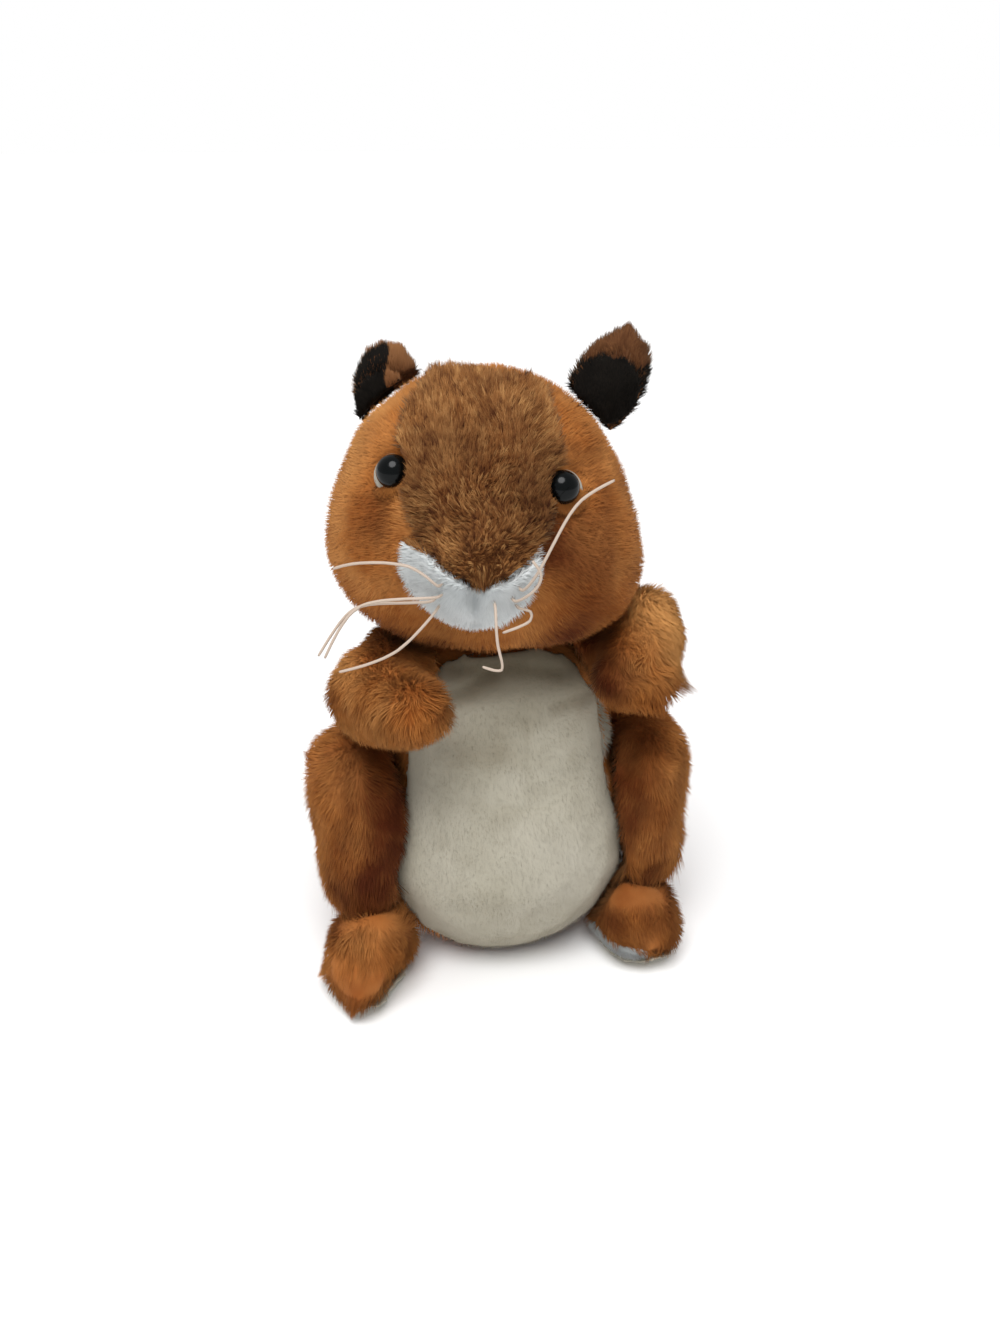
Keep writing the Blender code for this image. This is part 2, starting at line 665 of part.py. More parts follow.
# Legs, feet and soles
for side in (RIGHT, LEFT):
    label = side_name(side)
    hip = body_form.point(*LEG_SEATS[side])
    leg_form = Form(hip + np.array((side * HAUNCH_OUT, 0, 0)))
    leg_form.lobe((0, 0, 0), (HAUNCH_WIDTH, HAUNCH_HEIGHT, HAUNCH_DEPTH))
    leg_form.lobe((side * THIGH_OUT, THIGH_RISE, 0), THIGH_SIZE)
    leg_form.lobe((side * SHIN_OUT, -SHIN_DROP, SHIN_FORWARD), SHIN_SIZE)
    leg = plump(f"leg_{label}", leg_form, LEG_SQUARES, "plush_brown")
    leg_mould = plump(f"leg_mould_{label}", leg_form, LEG_SQUARES, lift=GAP)
    cut(leg, body_mould, belly_mould)
    outward, forward = FOOT_SEATS[side]
    foot_heart = (
        leg_form.heart[0] + side * outward,
        leg_form.heart[1] - forward,
        FOOT_HEIGHT / 2 - FOOT_FLATTENED,
    )
    foot_axes = turned_axes(-side * FOOT_TURNOUT)
    foot_form = Form(foot_heart, foot_axes, floor=0.0)
    foot_form.lobe((0, 0, 0), (FOOT_WIDTH, FOOT_HEIGHT, FOOT_LENGTH))
    foot_form.lobe((0, (TOE_SIZE[1] - FOOT_HEIGHT) / 2, TOE_FORWARD), TOE_SIZE)
    foot = plump(f"foot_{label}", foot_form, FOOT_SQUARES, "plush_brown", (1, 1, 1.3))
    sole_axes = turned_axes(-side * FOOT_TURNOUT, SOLE_TIP - 90, 0)
    sole_outline = mirrored(
        [(0, SOLE_LENGTH), (SOLE_WIDTH * 0.8, SOLE_LENGTH * 0.6), (SOLE_WIDTH, 0)]
        + [(SOLE_WIDTH * 0.8, -SOLE_LENGTH * 0.6), (0, -SOLE_LENGTH)]
    )
    under = {"rings": 2, "count": 18, "axes": sole_axes}
    sole = panel(f"sole_{label}", foot_form, sole_outline, 0, -PANEL_DEPTH, "plush_cream", **under)
    sole_recess = panel(
        f"sole_recess_{label}",
        foot_form,
        sole_outline,
        CUTTER_REACH,
        -PANEL_DEPTH - GAP,
        spread=GAP,
        **under,
    )
    cut(foot, leg_mould, body_mould, belly_mould, sole_recess)
    cut(sole, leg_mould, body_mould)

# Tail, against the back
back = body_form.point(180.0, math.degrees(math.atan2(TAIL_HEART - body_form.heart[2], 0.05)))
tail_form = Form((0, back[1] + TAIL_DEPTH / 2 - TAIL_SINK, TAIL_HEART), floor=0.0)
tail_form.lobe((0, 0, 0), (TAIL_WIDTH, TAIL_HEIGHT, TAIL_DEPTH))
tail_form.lobe((0, -TAIL_BASE_DROP, TAIL_SINK), TAIL_BASE_SIZE)
tail_form.lobe((0, TAIL_TOP_RISE, TAIL_SINK - TAIL_TIP_BACK / 2), TAIL_TOP_SIZE)
tail_form.lobe((0, TAIL_TIP_RISE, -TAIL_TIP_BACK), TAIL_TIP_SIZE)
tail = plump("tail", tail_form, TAIL_SQUARES, "plush_brown", (1, 3.0, 1.1))
cut(tail, body_mould, head_mould)

# Whiskers, rooted in the muzzle
for label, (root, steps) in WHISKERS.items():
    start = head_form.point(*root, lift=MUZZLE_PROUD)
    out = head_form.outward(start)
    path = [start - out * WHISKER_ROOT, start, start + out * WHISKER_OUT]
    path += [start + head_axes @ (np.array(step) * MM) for step in steps]
    path = np.array(path)
    ends = np.vstack([2 * path[0] - path[1], path, 2 * path[-1] - path[-2]])
    spots = []
    for i in range(1, len(ends) - 2):
        a, b, c, d = ends[i - 1 : i + 3]
        for t in (0, 0.5) if np.linalg.norm(c - b) > WHISKER_LONG_STEP else (0,):
            bend = 2 * a - 5 * b + 4 * c - d + t * (3 * (b - c) + d - a)
            spots.append(b + 0.5 * t * (c - a + t * bend))
    spots.append(path[-1])
    wire = bpy.data.curves.new(f"whisker_{label}", "CURVE")
    wire.dimensions = "3D"
    wire.bevel_depth = WHISKER_RADIUS
    wire.bevel_resolution = 1
    wire.use_fill_caps = True
    line = wire.splines.new("POLY")
    line.points.add(len(spots) - 1)
    for point, spot in zip(line.points, spots):
        point.co = (*(spot - start), 1)
    add(f"whisker_{label}", wire, "filament", Matrix.Translation(start))
    hole = turned(
        f"whisker_hole_{label}",
        rod(WHISKER_RADIUS + GAP, -WHISKER_ROOT - GAP, WHISKER_OUT),
        standing_on(start, out, head_axes[:, 1]),
        steps=6,
    )
    cut(muzzle, hole)

bpy.context.view_layer.update()
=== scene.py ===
# %% [markdown]
# # A sitting plush squirrel, dressed in its cloth and pile
# The toy is sewn from a few kinds of plush and stuffed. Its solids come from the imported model. This lesson
# gives each of them the cloth, the pile and the small hard parts that make it look like the real toy.
# Lengths are in metres, +Z is up and the squirrel faces -Y.

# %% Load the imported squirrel
import json
import math

import bmesh
import bpy
import numpy as np
from mathutils import Matrix, Vector
from mathutils.bvhtree import BVHTree
from mathutils.kdtree import KDTree

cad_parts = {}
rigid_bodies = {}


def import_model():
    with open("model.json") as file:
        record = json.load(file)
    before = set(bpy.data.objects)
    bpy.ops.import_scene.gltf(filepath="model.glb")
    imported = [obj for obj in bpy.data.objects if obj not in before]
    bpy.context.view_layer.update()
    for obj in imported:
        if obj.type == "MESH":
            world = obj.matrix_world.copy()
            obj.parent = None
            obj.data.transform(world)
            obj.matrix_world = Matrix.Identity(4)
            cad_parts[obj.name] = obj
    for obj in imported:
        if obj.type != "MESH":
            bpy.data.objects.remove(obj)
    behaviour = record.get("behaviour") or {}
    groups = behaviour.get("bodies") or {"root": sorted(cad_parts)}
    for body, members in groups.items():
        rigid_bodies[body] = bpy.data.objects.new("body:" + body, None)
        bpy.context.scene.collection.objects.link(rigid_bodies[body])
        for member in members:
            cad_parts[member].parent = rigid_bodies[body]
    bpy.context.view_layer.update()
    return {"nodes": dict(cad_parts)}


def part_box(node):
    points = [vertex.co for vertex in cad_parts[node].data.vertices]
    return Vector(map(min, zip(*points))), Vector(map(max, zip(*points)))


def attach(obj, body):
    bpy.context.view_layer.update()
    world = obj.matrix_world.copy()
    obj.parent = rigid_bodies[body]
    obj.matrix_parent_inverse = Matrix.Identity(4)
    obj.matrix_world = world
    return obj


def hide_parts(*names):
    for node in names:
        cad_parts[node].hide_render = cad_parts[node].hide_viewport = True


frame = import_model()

MM = 0.001
nodes = frame["nodes"]

# %% [markdown]
# ## The camera
# The toy was photographed from a hand's height above its head and a little to its right. A lens of
# 32 mm from 40 cm away gives the large head and the small feet that such a near view shows.

# %% Set up the camera
AZIMUTH, ELEVATION, DISTANCE = -9.0, 26.0, 0.400
TARGET = Vector((0, -0.005, 0.106))


def stand(name, data):
    """Puts a mesh, a lamp or a camera into the scene."""
    made = bpy.data.objects.new(name, data)
    bpy.context.scene.collection.objects.link(made)
    return made


def place_camera():
    turn, rise = math.radians(AZIMUTH), math.radians(ELEVATION)
    back = Vector((math.sin(turn) * math.cos(rise), -math.cos(turn) * math.cos(rise), math.sin(rise)))
    lens = bpy.data.cameras.new("camera")
    lens.lens, lens.sensor_width, lens.clip_start = 32, 36, 0.01
    camera = stand("camera", lens)
    camera.matrix_world = Matrix.Translation(TARGET + back * DISTANCE) @ (
        (-back).to_track_quat("-Z", "Y").to_matrix().to_4x4()
    )
    bpy.context.scene.camera = camera
    return camera


camera = place_camera()
print("camera at", [round(c, 3) for c in camera.matrix_world.translation])

# %% [markdown]
# ## Reading a solid
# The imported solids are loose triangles. Two helpers read one as arrays, and as a tree that quickly
# answers which point of the solid is nearest. The tree tells whether a hair would grow inside a neighbour.

# %% Read solids as arrays and trees


def triangles_of(data):
    """Corner places, triangles and corner normals of a mesh."""
    places = np.empty(len(data.vertices) * 3)
    data.vertices.foreach_get("co", places)
    normals = np.empty(len(data.vertices) * 3)
    data.vertices.foreach_get("normal", normals)
    data.calc_loop_triangles()
    corners = np.empty(len(data.loop_triangles) * 3, dtype=np.int32)
    data.loop_triangles.foreach_get("vertices", corners)
    return places.reshape(-1, 3), corners.reshape(-1, 3), normals.reshape(-1, 3)


def tree_of(node):
    places, corners, _ = triangles_of(nodes[node].data)
    return BVHTree.FromPolygons(places.tolist(), corners.tolist())


trees = {node: tree_of(node) for node in nodes}


def depth_in(points, node, reach=0.012):
    """How far each point lies inside a solid, below zero outside, -reach when it is far off."""
    tree = trees[node]
    depths = np.full(len(points), -reach)
    low, high = (np.array(corner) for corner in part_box(node))
    near = np.all((points > low - reach) & (points < high + reach), axis=1)
    for i in np.nonzero(near)[0]:
        spot, normal, _, away = tree.find_nearest(Vector(points[i]), reach)
        if spot is not None:
            depths[i] = away if (Vector(points[i]) - spot).dot(normal) < 0 else -away
    return depths


def free_of(points, node):
    """Which points don't lie inside a solid."""
    return depth_in(points, node, 0.004) < 0.0001


def unit(vectors):
    return vectors / np.maximum(np.linalg.norm(vectors, axis=-1, keepdims=True), 1e-9)


print("trees:", len(trees))

# %% [markdown]
# ## From the photograph to a place on the toy
# Folds, tufts and dark patches are easiest to name by where the photograph shows them. The helper sends
# a ray from the camera through that pixel to a solid. Past the solid's edge it gives the place on the
# ray that comes nearest, which is where a tuft ends that stands off the outline.

# %% Find what a pixel shows
PHOTO_WIDTH, PHOTO_HEIGHT = 1000, 1333
FOCAL = camera.data.lens / camera.data.sensor_width * PHOTO_HEIGHT  # in pixels


def seen_at(x, y, node):
    """The place in mm on a solid that a pixel of the photograph shows."""
    start = camera.matrix_world.translation
    ray = Vector(((x - PHOTO_WIDTH / 2) / FOCAL, (PHOTO_HEIGHT / 2 - y) / FOCAL, -1)).normalized()
    ray = camera.matrix_world.to_3x3() @ ray
    spot = trees[node].ray_cast(start, ray)[0]
    if spot is None:
        steps = [start + ray * (0.25 + 0.001 * k) for k in range(260)]
        spot = min(steps, key=lambda place: trees[node].find_nearest(place)[3])
    return np.array(spot) / MM


def across_camera(points):
    """Where points, in metres, show in the photograph, in pixels."""
    local = (points - np.array(camera.matrix_world.translation)) @ np.array(camera.matrix_world.to_3x3())
    x, y = FOCAL * local[:, 0] / local[:, 2], FOCAL * local[:, 1] / local[:, 2]
    return PHOTO_WIDTH / 2 - x, PHOTO_HEIGHT / 2 + y


def seen_on_floor(x, y):
    """The place in mm, a hair's width above the floor, that a pixel of the photograph shows."""
    start, below = np.array(camera.matrix_world.translation) / MM, seen_at(x, y, "body")
    ray = below - start
    return start + ray * (0.5 - start[2]) / ray[2]


def within(points, outline):
    """Which points show inside an outline that is drawn over the photograph."""
    x, y = across_camera(points)
    inside = np.zeros(len(points), bool)
    for (ax, ay), (bx, by) in zip(outline, outline[1:] + outline[:1]):
        crossed = (ay > y) != (by > y)
        inside ^= crossed & (x < ax + (y - ay) / (by - ay + 1e-9) * (bx - ax))
    return inside


print("the right eye's button shows", seen_at(391, 472, "head").round(1))

# %% [markdown]
# ## The sewn skin
# Under the pile lies the backing cloth, sewn and stuffed tight. A Remesh modifier turns a copy of the
# solid into one even net of squares, a few rounds of smoothing take the facets out, and the net then
# moves inwards to make room for the pile. Folds and dents are pressed in with soft moves.

# %% Make skins from the solids


def merged(node, distance):
    """A copy of a solid with its loose triangles joined."""
    shape = bmesh.new()
    shape.from_mesh(nodes[node].data)
    bmesh.ops.remove_doubles(shape, verts=shape.verts, dist=distance)
    return shape


def mesh_of(shape, name):
    data = bpy.data.meshes.new(name)
    shape.to_mesh(data)
    shape.free()
    return data


def settled(piece, name):
    """Swaps a piece's mesh for what its modifiers make of it."""
    rough = piece.data
    data = bpy.data.meshes.new_from_object(piece.evaluated_get(bpy.context.evaluated_depsgraph_get()))
    piece.modifiers.clear()
    piece.data = data
    bpy.data.meshes.remove(rough)
    data.name = name
    return data


def relax(shape, factor, rounds):
    for _ in range(rounds):
        bmesh.ops.smooth_vert(
            shape, verts=shape.verts, factor=factor, use_axis_x=True, use_axis_y=True, use_axis_z=True
        )


def skin_of(node, name, inset, voxel=0.0020, rounds=6):
    """The skin of a solid: inset is how far it moves in, and voxel the width of its squares, in m."""
    skin = stand(name, mesh_of(merged(node, 0.00002), name))
    remesh = skin.modifiers.new("even net", "REMESH")
    remesh.mode, remesh.voxel_size = "VOXEL", voxel
    even = settled(skin, name)
    shape = bmesh.new()
    shape.from_mesh(even)
    relax(shape, 0.5, rounds)
    bmesh.ops.recalc_face_normals(shape, faces=shape.faces)
    shape.normal_update()
    moves = [vert.normal * inset for vert in shape.verts]
    for vert, move in zip(shape.verts, moves):
        vert.co -= move
    relax(shape, 0.4, 2)
    shape.to_mesh(even)
    shape.free()
    even.shade_smooth()
    even.materials.clear()
    return skin


def drift(points, size, seed):
    """Smooth wandering numbers, about -1 to 1, that change over a given length."""
    rng = np.random.default_rng(seed)
    waves = rng.normal(size=(7, 3)) * (2.2 / size)
    phases = rng.uniform(0, math.tau, 7)
    return np.sin(points @ waves.T + phases).sum(axis=1) / 2.6


def set_places(skin, places):
    skin.data.vertices.foreach_set("co", places.ravel())
    skin.data.update()


def press(skin, node, presses):
    """Moves a skin softly around places; presses are (pixel, move in mm, radius in mm)."""
    for pixel, move, radius in presses:
        places, _, _ = triangles_of(skin.data)
        away = np.linalg.norm(places - seen_at(*pixel, node) * MM, axis=1) / (radius * MM)
        places += np.exp(-(away**2))[:, None] * np.array(move) * MM
        set_places(skin, places)


def away_from(points, node, pixels):
    """How far points lie, in mm, from a path that is drawn over a solid in the photograph."""
    path = [seen_at(x, y, node) for x, y in pixels]
    nearest = np.linalg.norm(points - path[0], axis=1)
    for a, b in zip(path[:-1], path[1:]):
        share = np.clip(((points - a) @ (b - a)) / np.dot(b - a, b - a), 0, 1)
        nearest = np.minimum(nearest, np.linalg.norm(points - a - share[:, None] * (b - a), axis=1))
    return nearest


def crease(skin, node, folds, way=None):
    """Presses folds in, or lifts them where depth is below zero; folds are (path, depth, width) in mm.

    A thin panel gets one way for all its points, or its front and its back would meet.
    """
    for pixels, depth, width in folds:
        places, _, normals = triangles_of(skin.data)
        nearest = away_from(places / MM, node, pixels)
        push = -normals if way is None else np.array(way, float)
        places += push * (np.exp(-((nearest / width) ** 2)) * depth * MM)[:, None]
        set_places(skin, places)


def shade_light_and_tone_over(node, marks):
    """Deeper colour by place, or paler below zero: mostly painted shade in folds, hollows and shadows,
    and painted light on lit faces. Marks are (path in pixels, radius in mm, amount).
    """

    def shade_light_and_tone(points):
        total = np.zeros(len(points))
        for pixels, radius, amount in marks:
            total += amount * np.exp(-((away_from(points, node, pixels) / radius) ** 2))
        return np.tanh(total)

    return shade_light_and_tone


def ripple(skin, height, size, seed):
    """Gives a tight skin the slight unevenness of its stuffing; lengths in mm."""
    places, _, normals = triangles_of(skin.data)
    places += normals * (drift(places, size * MM, seed) * height * MM)[:, None]
    set_places(skin, places)


# %% [markdown]
# ## Colour of the pile
# Each hair is darker and redder at its root than at its tip, hairs differ a little from each other, and
# brushing leaves paler and deeper patches some centimetres wide. One node group makes that colour from
# three numbers that each hair carries: how far along it is, its own tint, and a number of painted shade
# and light, high where folds, hollows and the shadows of neighbouring parts are painted deeper, and
# below zero where faces that the lamp falls on are painted paler.

# %% Build the pile colour group


def new_group(name, inputs, outputs):
    group = bpy.data.node_groups.new(name, "ShaderNodeTree")
    for label, kind, default in inputs:
        socket = group.interface.new_socket(label, in_out="INPUT", socket_type=kind)
        socket.default_value = default
    for label, kind in outputs:
        group.interface.new_socket(label, in_out="OUTPUT", socket_type=kind)
    return group


def put(tree, kind, **values):
    node = tree.nodes.new(kind)
    for key, value in values.items():
        setattr(node, key, value)
    return node


def feed(tree, socket, value):
    """Gives an input what it takes: another node's output, or a plain value."""
    if isinstance(value, bpy.types.NodeSocket):
        tree.links.new(value, socket)
    else:
        socket.default_value = value


def mix_colours(tree, share, first, second):
    node = put(tree, "ShaderNodeMix", data_type="RGBA")
    for k, value in ((0, share), (6, first), (7, second)):
        feed(tree, node.inputs[k], value)
    return node.outputs[2]


def maths(tree, operation, *values, clamp=False):
    node = put(tree, "ShaderNodeMath", operation=operation, use_clamp=clamp)
    for socket, value in zip(node.inputs, values):
        feed(tree, socket, value)
    return node.outputs[0]


def noise_at(tree, scale, detail=2.0, offset=(0, 0, 0)):
    where = put(tree, "ShaderNodeTexCoord").outputs["Object"]
    if any(offset):
        shift = put(tree, "ShaderNodeMapping")
        shift.inputs["Location"].default_value = offset
        tree.links.new(where, shift.inputs["Vector"])
        where = shift.outputs["Vector"]
    node = put(tree, "ShaderNodeTexNoise")
    tree.links.new(where, node.inputs["Vector"])
    node.inputs["Scale"].default_value = scale
    node.inputs["Detail"].default_value = detail
    return node.outputs["Fac"]


def make_pile_group():
    colour = "NodeSocketColor"
    group = new_group(
        "pile colour",
        [
            ("Root", colour, (0.1, 0.03, 0.01, 1)),
            ("Tip", colour, (0.5, 0.2, 0.07, 1)),
            ("Pale", colour, (0.6, 0.35, 0.15, 1)),
            ("Deep", colour, (0.1, 0.03, 0.01, 1)),
            ("Patches", "NodeSocketFloat", 0.3),
            ("Flecks", "NodeSocketFloat", 0.3),
        ],
        [("Color", colour)],
    )
    inside = put(group, "NodeGroupInput").outputs
    along = put(group, "ShaderNodeAttribute", attribute_name="along").outputs["Fac"]
    tint = put(group, "ShaderNodeAttribute", attribute_name="tint").outputs["Fac"]
    base = mix_colours(group, along, inside["Root"], inside["Tip"])
    broad = maths(group, "MULTIPLY_ADD", noise_at(group, 55, 3), 2.6, -0.8, clamp=True)
    patched = mix_colours(group, maths(group, "MULTIPLY", broad, inside["Patches"]), base, inside["Pale"])
    low = maths(group, "MULTIPLY_ADD", noise_at(group, 80, 2, (3.1, 1.7, 5.3)), 3.0, -1.3, clamp=True)
    shaded = mix_colours(group, maths(group, "MULTIPLY", low, inside["Patches"]), patched, inside["Deep"])
    light = maths(group, "SUBTRACT", tint, 0.5)
    up = maths(group, "MULTIPLY", maths(group, "MULTIPLY", light, 2.0, clamp=True), inside["Flecks"])
    down = maths(group, "MULTIPLY", maths(group, "MULTIPLY", light, -2.0, clamp=True), inside["Flecks"])
    flecked = mix_colours(group, up, shaded, inside["Pale"])
    flecked = mix_colours(group, down, flecked, inside["Deep"])
    # The third number is painted shade above zero, mixed towards Deep, and painted light below zero, mixed
    # towards Pale; the coats add some random tone to it.
    shade_light_and_tone = put(group, "ShaderNodeAttribute", attribute_name="shade_light_and_tone").outputs["Fac"]
    out = put(group, "NodeGroupOutput")
    deepened = mix_colours(group, maths(group, "MULTIPLY", shade_light_and_tone, 1.0, clamp=True), flecked, inside["Deep"])
    paler = mix_colours(group, maths(group, "MULTIPLY", shade_light_and_tone, -1.0, clamp=True), deepened, inside["Pale"])
    group.links.new(paler, out.inputs["Color"])
    return group


pile_group = make_pile_group()
print("nodes in the pile colour group:", len(pile_group.nodes))

# %% [markdown]
# ## Plush materials
# The shader itself stays plain: very rough, with some sheen, because light grazes along the fibres of
# a plush and brightens its outline.

# %% Make the plush materials


def srgb(red, green, blue):
    """A colour from 0 to 255 as linear light."""
    values = [c / 255 for c in (red, green, blue)]
    return tuple(c / 12.92 if c <= 0.04045 else ((c + 0.055) / 1.055) ** 2.4 for c in values) + (1.0,)


slots = {}  # the slot of each plush


def plush(name, slot, root, tip, pale, deep, patches, flecks, sheen, sheen_tint=(255, 225, 190)):
    slots[name] = slot
    made = bpy.data.materials.new(name)
    made.use_nodes = True
    tree = made.node_tree
    shader = tree.nodes["Principled BSDF"]
    group = put(tree, "ShaderNodeGroup", node_tree=pile_group)
    for label, value in (("Root", root), ("Tip", tip), ("Pale", pale), ("Deep", deep)):
        group.inputs[label].default_value = srgb(*value)
    group.inputs["Patches"].default_value = patches
    group.inputs["Flecks"].default_value = flecks
    tree.links.new(group.outputs["Color"], shader.inputs["Base Color"])
    shader.inputs["Roughness"].default_value = 0.9
    shader.inputs["Specular IOR Level"].default_value = 0.2
    shader.inputs["Sheen Weight"].default_value = sheen
    shader.inputs["Sheen Roughness"].default_value = 0.5
    shader.inputs["Sheen Tint"].default_value = srgb(*sheen_tint)
    return made


brown_plush = plush(
    "brown plush", "plush_brown", (138, 70, 20), (190, 116, 50), (220, 158, 92), (84, 32, 4),
    0.42, 0.16, 0.1, (240, 180, 120),
)
ear_plush = plush(
    "ear plush", "plush_brown", (84, 48, 24), (142, 92, 54), (170, 120, 78), (70, 36, 16), 0.4, 0.5, 0.14
)
mottled_plush = plush(
    "mottled plush", "plush_mottled", (84, 40, 12), (172, 110, 54), (218, 164, 102), (64, 26, 4),
    0.3, 1.1, 0.1,
)
white_plush = plush(
    "white plush", "plush_white", (206, 212, 212), (236, 240, 240), (242, 244, 244), (182, 188, 190),
    0.2, 0.2, 0.1,
)
cream_plush = plush(
    "cream plush", "plush_cream", (158, 152, 134), (178, 173, 157), (188, 183, 170), (112, 102, 80),
    0.25, 0.25, 0.1,
)
black_plush = plush(
    "black plush", "plush_black", (9, 8, 7), (24, 20, 16), (36, 29, 22), (5, 5, 4), 0.3, 0.5, 0.04
)
print("materials:", len(bpy.data.materials))

# %% [markdown]
# ## One hair, and a coat of them
# A hair is a slim cone of three sides. A particle system wouldn't reach the finished model, so the coat
# is real mesh: one cone is made with an operator and its corners are repeated at thousands of places.
# Roots are spread evenly over the skin. Each hair is laid over in the direction the plush is brushed,
# wanders a little, and leans towards the middle of its lock. Hairs on the far side of the toy are fewer
# and thicker, which keeps it under a million triangles.

# %% Make one hair


def make_hair():
    """Corners, triangles and their places on the hair's own patch of the map."""
    shape = bmesh.new()
    bmesh.ops.create_cone(shape, cap_ends=True, segments=3, radius1=1, radius2=0, depth=1)
    bmesh.ops.translate(shape, verts=shape.verts, vec=(0, 0, 0.5))
    bmesh.ops.remove_doubles(shape, verts=shape.verts, dist=1e-5)
    bmesh.ops.triangulate(shape, faces=shape.faces)
    shape.verts.index_update()
    corners = np.array([vert.co for vert in shape.verts])
    faces = np.array([[vert.index for vert in face.verts] for face in shape.faces])
    spots = np.zeros((len(faces), 3, 2))
    for k, face in enumerate(faces):
        flat = corners[face, 2].max() < 1e-6
        for j, corner in enumerate(face):
            x, _, z = corners[corner]
            turn = math.atan2(corners[corner, 1], x) / math.tau % 1 if z < 0.999 else 0.5
            spots[k, j] = (0.1 + 0.8 * turn, 0.02 + 0.06 * j / 2 if flat else 0.14 + 0.8 * z)
    shape.free()
    return corners, faces, spots


HAIR_CORNERS, HAIR_FACES, HAIR_SPOTS = make_hair()
print("triangles in a hair:", len(HAIR_FACES))


# %% Spread roots over a skin


def roots_on(skin, count, rng):
    places, corners, normals = triangles_of(skin.data)
    a, b, c = (places[corners[:, k]] for k in range(3))
    area = np.linalg.norm(np.cross(b - a, c - a), axis=1) / 2
    steps = (np.arange(count) + rng.random(count)) / count * area.sum()
    chosen = np.minimum(np.searchsorted(np.cumsum(area), steps), len(area) - 1)
    u, v = rng.random((2, count))
    over = u + v > 1
    u[over], v[over] = 1 - u[over], 1 - v[over]
    share = np.stack([1 - u - v, u, v], axis=1)[:, :, None]
    roots, facing = ((values[corners[chosen]] * share).sum(axis=1) for values in (places, normals))
    return roots, unit(facing), area.sum()


# %% Find where hair may grow
# Lengths in mm: how far above a root a neighbour is felt for, how deep that point may lie in it, and
# how far above a root a cover may hang.
FEEL_HEIGHT, FEEL_DEPTH, COVER_HEIGHT = 2, 0.8, 3
# Cosines: of a panel's face that points into its carrier, and of a face that is turned from the camera.
INWARDS, TURNED_AWAY = -0.35, -0.3


def may_grow(roots, normals, outside, apart, margin, clear, onto, under):
    """Which roots are free; coat says what each name stands for."""
    stay = np.ones(len(roots), bool)
    for node in outside:
        stay &= free_of(roots, node)
    for node in apart:
        stay &= depth_in(roots, node, 0.004) < -margin * MM
    for node in clear:
        stay &= depth_in(roots + normals * FEEL_HEIGHT * MM, node, 0.006) < FEEL_DEPTH * MM
    if onto:
        outwards = unit(roots - triangles_of(nodes[onto].data)[0].mean(axis=0))
        stay &= (outwards * normals).sum(axis=1) > INWARDS
    for node in under:
        stay &= depth_in(roots + normals * COVER_HEIGHT * MM, node, 0.006) < 0
    return stay


# %% Draw hair into locks and tufts, and stop it short
BARE_REACH = 12  # how far along its axis a bare spot reaches, in mm


def drawn_to_locks(roots, tips, middles, pull, rng):
    """Tips nearer to the tip of their lock's middle hair, and the lock that each belongs to."""
    finder = KDTree(len(middles))
    for k, i in enumerate(middles):
        finder.insert(Vector(roots[i]), k)
    finder.balance()
    lock_of = np.array([finder.find(Vector(root))[1] for root in roots])
    nearest = middles[lock_of]
    goal = tips[nearest] + (roots - roots[nearest]) * 0.35
    share = np.clip(pull * rng.uniform(0.4, 1.3, len(roots)), 0, 0.92)
    return tips + (goal - tips) * share[:, None], lock_of


def tufts_on(node, marks):
    """Tufts as coat takes them, from (pixel of the place, radius in mm, pixel of the tip)."""
    return [(seen_at(*spot, node), radius, seen_at(*end, node)) for spot, radius, end in marks]


def drawn_to_tuft(roots, tips, tuft, rng):
    place, radius, tip = tuft
    away = np.linalg.norm(roots - np.array(place) * MM, axis=1) / (radius * MM)
    share = np.clip(1.25 * np.exp(-(away**2) * 1.6), 0, 0.9) * rng.uniform(0.55, 1.0, len(roots))
    return tips + (np.array(tip) * MM - tips) * share[:, None]


def stopped_short(roots, tips, spot):
    """Tips that end at the rim of a bare spot, and which hairs are left."""
    place, axis, radius = spot
    out = [points - place - ((points - place) @ axis)[:, None] * axis for points in (roots, tips)]
    near, far = (np.linalg.norm(away, axis=1) for away in out)
    near = np.where(np.abs((roots - place) @ axis) > BARE_REACH * MM, 1.0, near)
    share = np.clip((near - radius) / np.maximum(near - far, 1e-6), 0, 1)
    share = np.where(far < radius, share, 1)
    return roots + (tips - roots) * share[:, None], (near > radius) & (share > 0.3)


# %% Turn hairs into a mesh
ROOT_DEPTH = 0.35  # how deep a hair starts in the skin, in mm


def set_numbers(data, label, values):
    """Gives each corner of a mesh a number that its material reads."""
    values = np.ascontiguousarray(values, dtype=np.float32).ravel()
    data.attributes.new(label, "FLOAT", "POINT").data.foreach_set("value", values)


